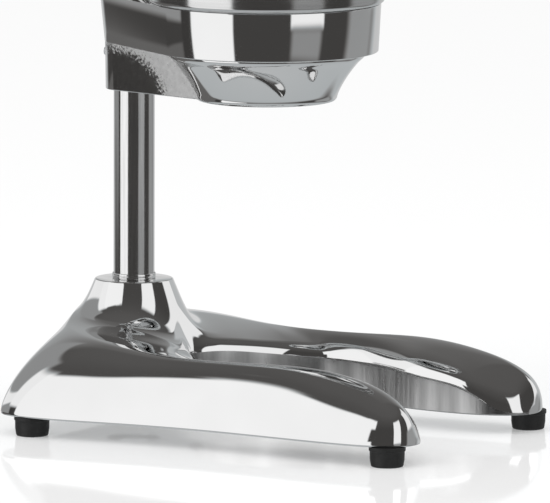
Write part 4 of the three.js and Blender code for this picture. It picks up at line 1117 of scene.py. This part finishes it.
# How bright the room is at heights above the table, in front and behind, where the front ends and
# how softly, and the table's far end behind the press, written like a panel without lean.
ROOM_IN_FRONT = [(-90, 0.55), (-36, 0.5), (-28, 0.06), (30, 0.06), (60, 0.10), (90, 0.11)]
ROOM_BEHIND = [(-90, 0.55), (-20, 0.5), (-14, 0.6), (5, 0.6), (12, 0.4), (30, 0.34), (45, 0.22),
               (60, 0.14), (90, 0.11)]
FRONT_ENDS, FRONT_FADES = 136, 12
FAR_FLOOR = (-17, 17, 5, -6, 8, 2.5, 0.7)
# The room's level for matt surfaces, and where the picture shows it past the floor.
ROOM_LIGHT, ROOM_SEEN = 0.72, 1.0
# The darkest parts of the room are a little warm, the grey ones a little cool.
ROOM_TINTS = [(0.0, (1.0, 0.95, 0.91)), (0.2, (1.0, 0.99, 0.98)), (0.5, (0.95, 1.0, 1.02)),
              (0.62, (1.0, 1.0, 1.0))]


def by_height(tree, height, stops):
    share = maths(tree, "DIVIDE", maths(tree, "ADD", height, 90), 180)
    return ramp_of(tree, share, [((up + 90) / 180, grey(level)) for up, level in stops])


def window(tree, around, height, left, last, soft, low, high, soft_up):
    return product(tree, within(tree, around, left, last, soft),
                   within(tree, height, low, high, soft_up))


def degrees_round(tree, sideways, forward):
    return product(tree, maths(tree, "ARCTAN2", sideways, forward), 180 / pi)


def studio_world():
    world = bpy.data.worlds.new("studio")
    bpy.context.scene.world = world
    world.use_nodes = True
    tree = world.node_tree
    direction = made(tree, "TexCoord", {}).outputs["Generated"]
    front, right, up = (along_axis(tree, direction, axis) for axis in (FRONT, RIGHT, Z))
    around = degrees_round(tree, right, front)
    height = product(tree, maths(tree, "ARCSINE", up), 180 / pi)
    behind = maths(tree, "SUBTRACT", 1,
                   within(tree, around, -FRONT_ENDS, FRONT_ENDS, FRONT_FADES))
    level = laid_over(tree, by_height(tree, height, ROOM_IN_FRONT),
                      by_height(tree, height, ROOM_BEHIND), behind)
    for *edges, lean, bright in PANELS:
        rise = height
        if lean:
            slant = product(tree, maths(tree, "SUBTRACT", around, LEAN_FROM), lean)
            rise = maths(tree, "SUBTRACT", maths(tree, "SUBTRACT", height, LEAN_HEIGHT), slant)
        level = laid_over(tree, level, bright, window(tree, around, rise, *edges))
    around_back = degrees_round(tree, product(tree, right, -1), product(tree, front, -1))
    *edges, bright = FAR_FLOOR
    level = laid_over(tree, level, bright, window(tree, around_back, height, *edges))
    rays = made(tree, "LightPath", {})
    strength = laid_over(tree, ROOM_LIGHT, level, rays.outputs["Is Glossy Ray"])
    strength = laid_over(tree, strength, ROOM_SEEN, rays.outputs["Is Camera Ray"])
    shader = tree.nodes["Background"]
    feed(tree, shader.inputs["Color"], ramp_of(tree, strength, ROOM_TINTS))
    feed(tree, shader.inputs["Strength"], strength)
    world.cycles.sampling_method = "NONE"


def studio_floor():
    """A white table. Reflections see through it to the room."""
    deselect()
    bpy.ops.mesh.primitive_plane_add(size=12, location=(0, 0, 0))
    floor = named("floor")
    material, tree, shader = new_material("white_table")
    rays = made(tree, "LightPath", {})
    white, glow = (1, 1, 1, 1), product(tree, rays.outputs["Is Camera Ray"], 0.23)
    for key, value in (("Base Color", white), ("Roughness", 0.06), ("Specular IOR Level", 0.25),
                       ("Emission Color", white), ("Emission Strength", glow)):
        feed(tree, shader.inputs[key], value)
    clear = made(tree, "BsdfTransparent", {})
    mixed = made(tree, "MixShader", {"Fac": rays.outputs["Is Glossy Ray"],
                                     1: shader.outputs["BSDF"], 2: clear.outputs["BSDF"]})
    feed(tree, tree.nodes["Material Output"].inputs["Surface"], mixed.outputs["Shader"])
    floor.data.materials.append(material)


def soft_lamp(name, azimuth, elevation, power):
    """A soft lamp aimed at the press, its azimuth from the front, right positive."""
    distance, size = 2.2, 1.6
    a, e = radians(azimuth), radians(elevation)
    away = (FRONT * cos(a) + RIGHT * sin(a)) * cos(e) + Z * sin(e)
    bpy.ops.object.light_add(type="AREA", location=away * distance + at(0, -60, 150))
    lamp = bpy.context.object
    lamp.name = name
    lamp.data.size = size
    lamp.data.energy = power
    lamp.rotation_euler = away.to_track_quat("Z", "Y").to_euler()
    lamp.visible_glossy = False


# The camera's azimuth, elevation and roll, its distance in metres, and its aim and focal length.
CAMERA_TURNS = (-60.2, 7.61, -0.18)
CAMERA_DISTANCE = 5.0
AIM_HEIGHT, AIM_RIGHT = 82.48, 68.78
FOCAL_PIXELS, PICTURE_PIXELS = 10246.9, 550
SENSOR = 36


def camera():
    azimuth, elevation, roll = (radians(v) for v in CAMERA_TURNS)
    back = Vector((sin(azimuth) * cos(elevation),
                   -cos(azimuth) * cos(elevation), sin(elevation)))
    right = Vector((cos(azimuth), sin(azimuth), 0))
    up = back.cross(right)
    place = at(0, 0, AIM_HEIGHT) + right * AIM_RIGHT * MM + back * CAMERA_DISTANCE
    turned_right = right * cos(roll) - up * sin(roll)
    turned_up = right * sin(roll) + up * cos(roll)
    bpy.ops.object.camera_add()
    eye = bpy.context.object
    eye.name = "camera"
    eye.data.sensor_width = SENSOR
    eye.data.lens = SENSOR * FOCAL_PIXELS / PICTURE_PIXELS
    eye.data.clip_end = 50
    basis = Matrix((turned_right, turned_up, back)).transposed().to_4x4()
    eye.matrix_world = Matrix.Translation(place) @ basis
    bpy.context.scene.camera = eye


base_casting()
for name, (x, y) in FOOT_PLACES.items():
    rubber_foot(name, x, y)
    foot_screw(name, x, y)
column()
foot_ring()
column_fixing()
funnel_bracket()
set_screw("ring_screw", 16.1, 180, "bracket_set_screw")
strainer_bowl()
ribbed_cone()
stops_on_column()
column_cap()
cap_screw()
press_head()
bush("bush_above", 22.6, 34, "upper_bush")
bush("bush_below", -42, -22.6, "lower_bush")
guide_screw()
press_bell()
bell_fixing()
pivot()
lever_arm()
lever_fittings()

studio_world()
studio_floor()
soft_lamp("key_lamp", -55, 42, 14)
soft_lamp("fill_lamp", 60, 35, 9)
camera()
bpy.context.scene.view_settings.view_transform = "Standard"
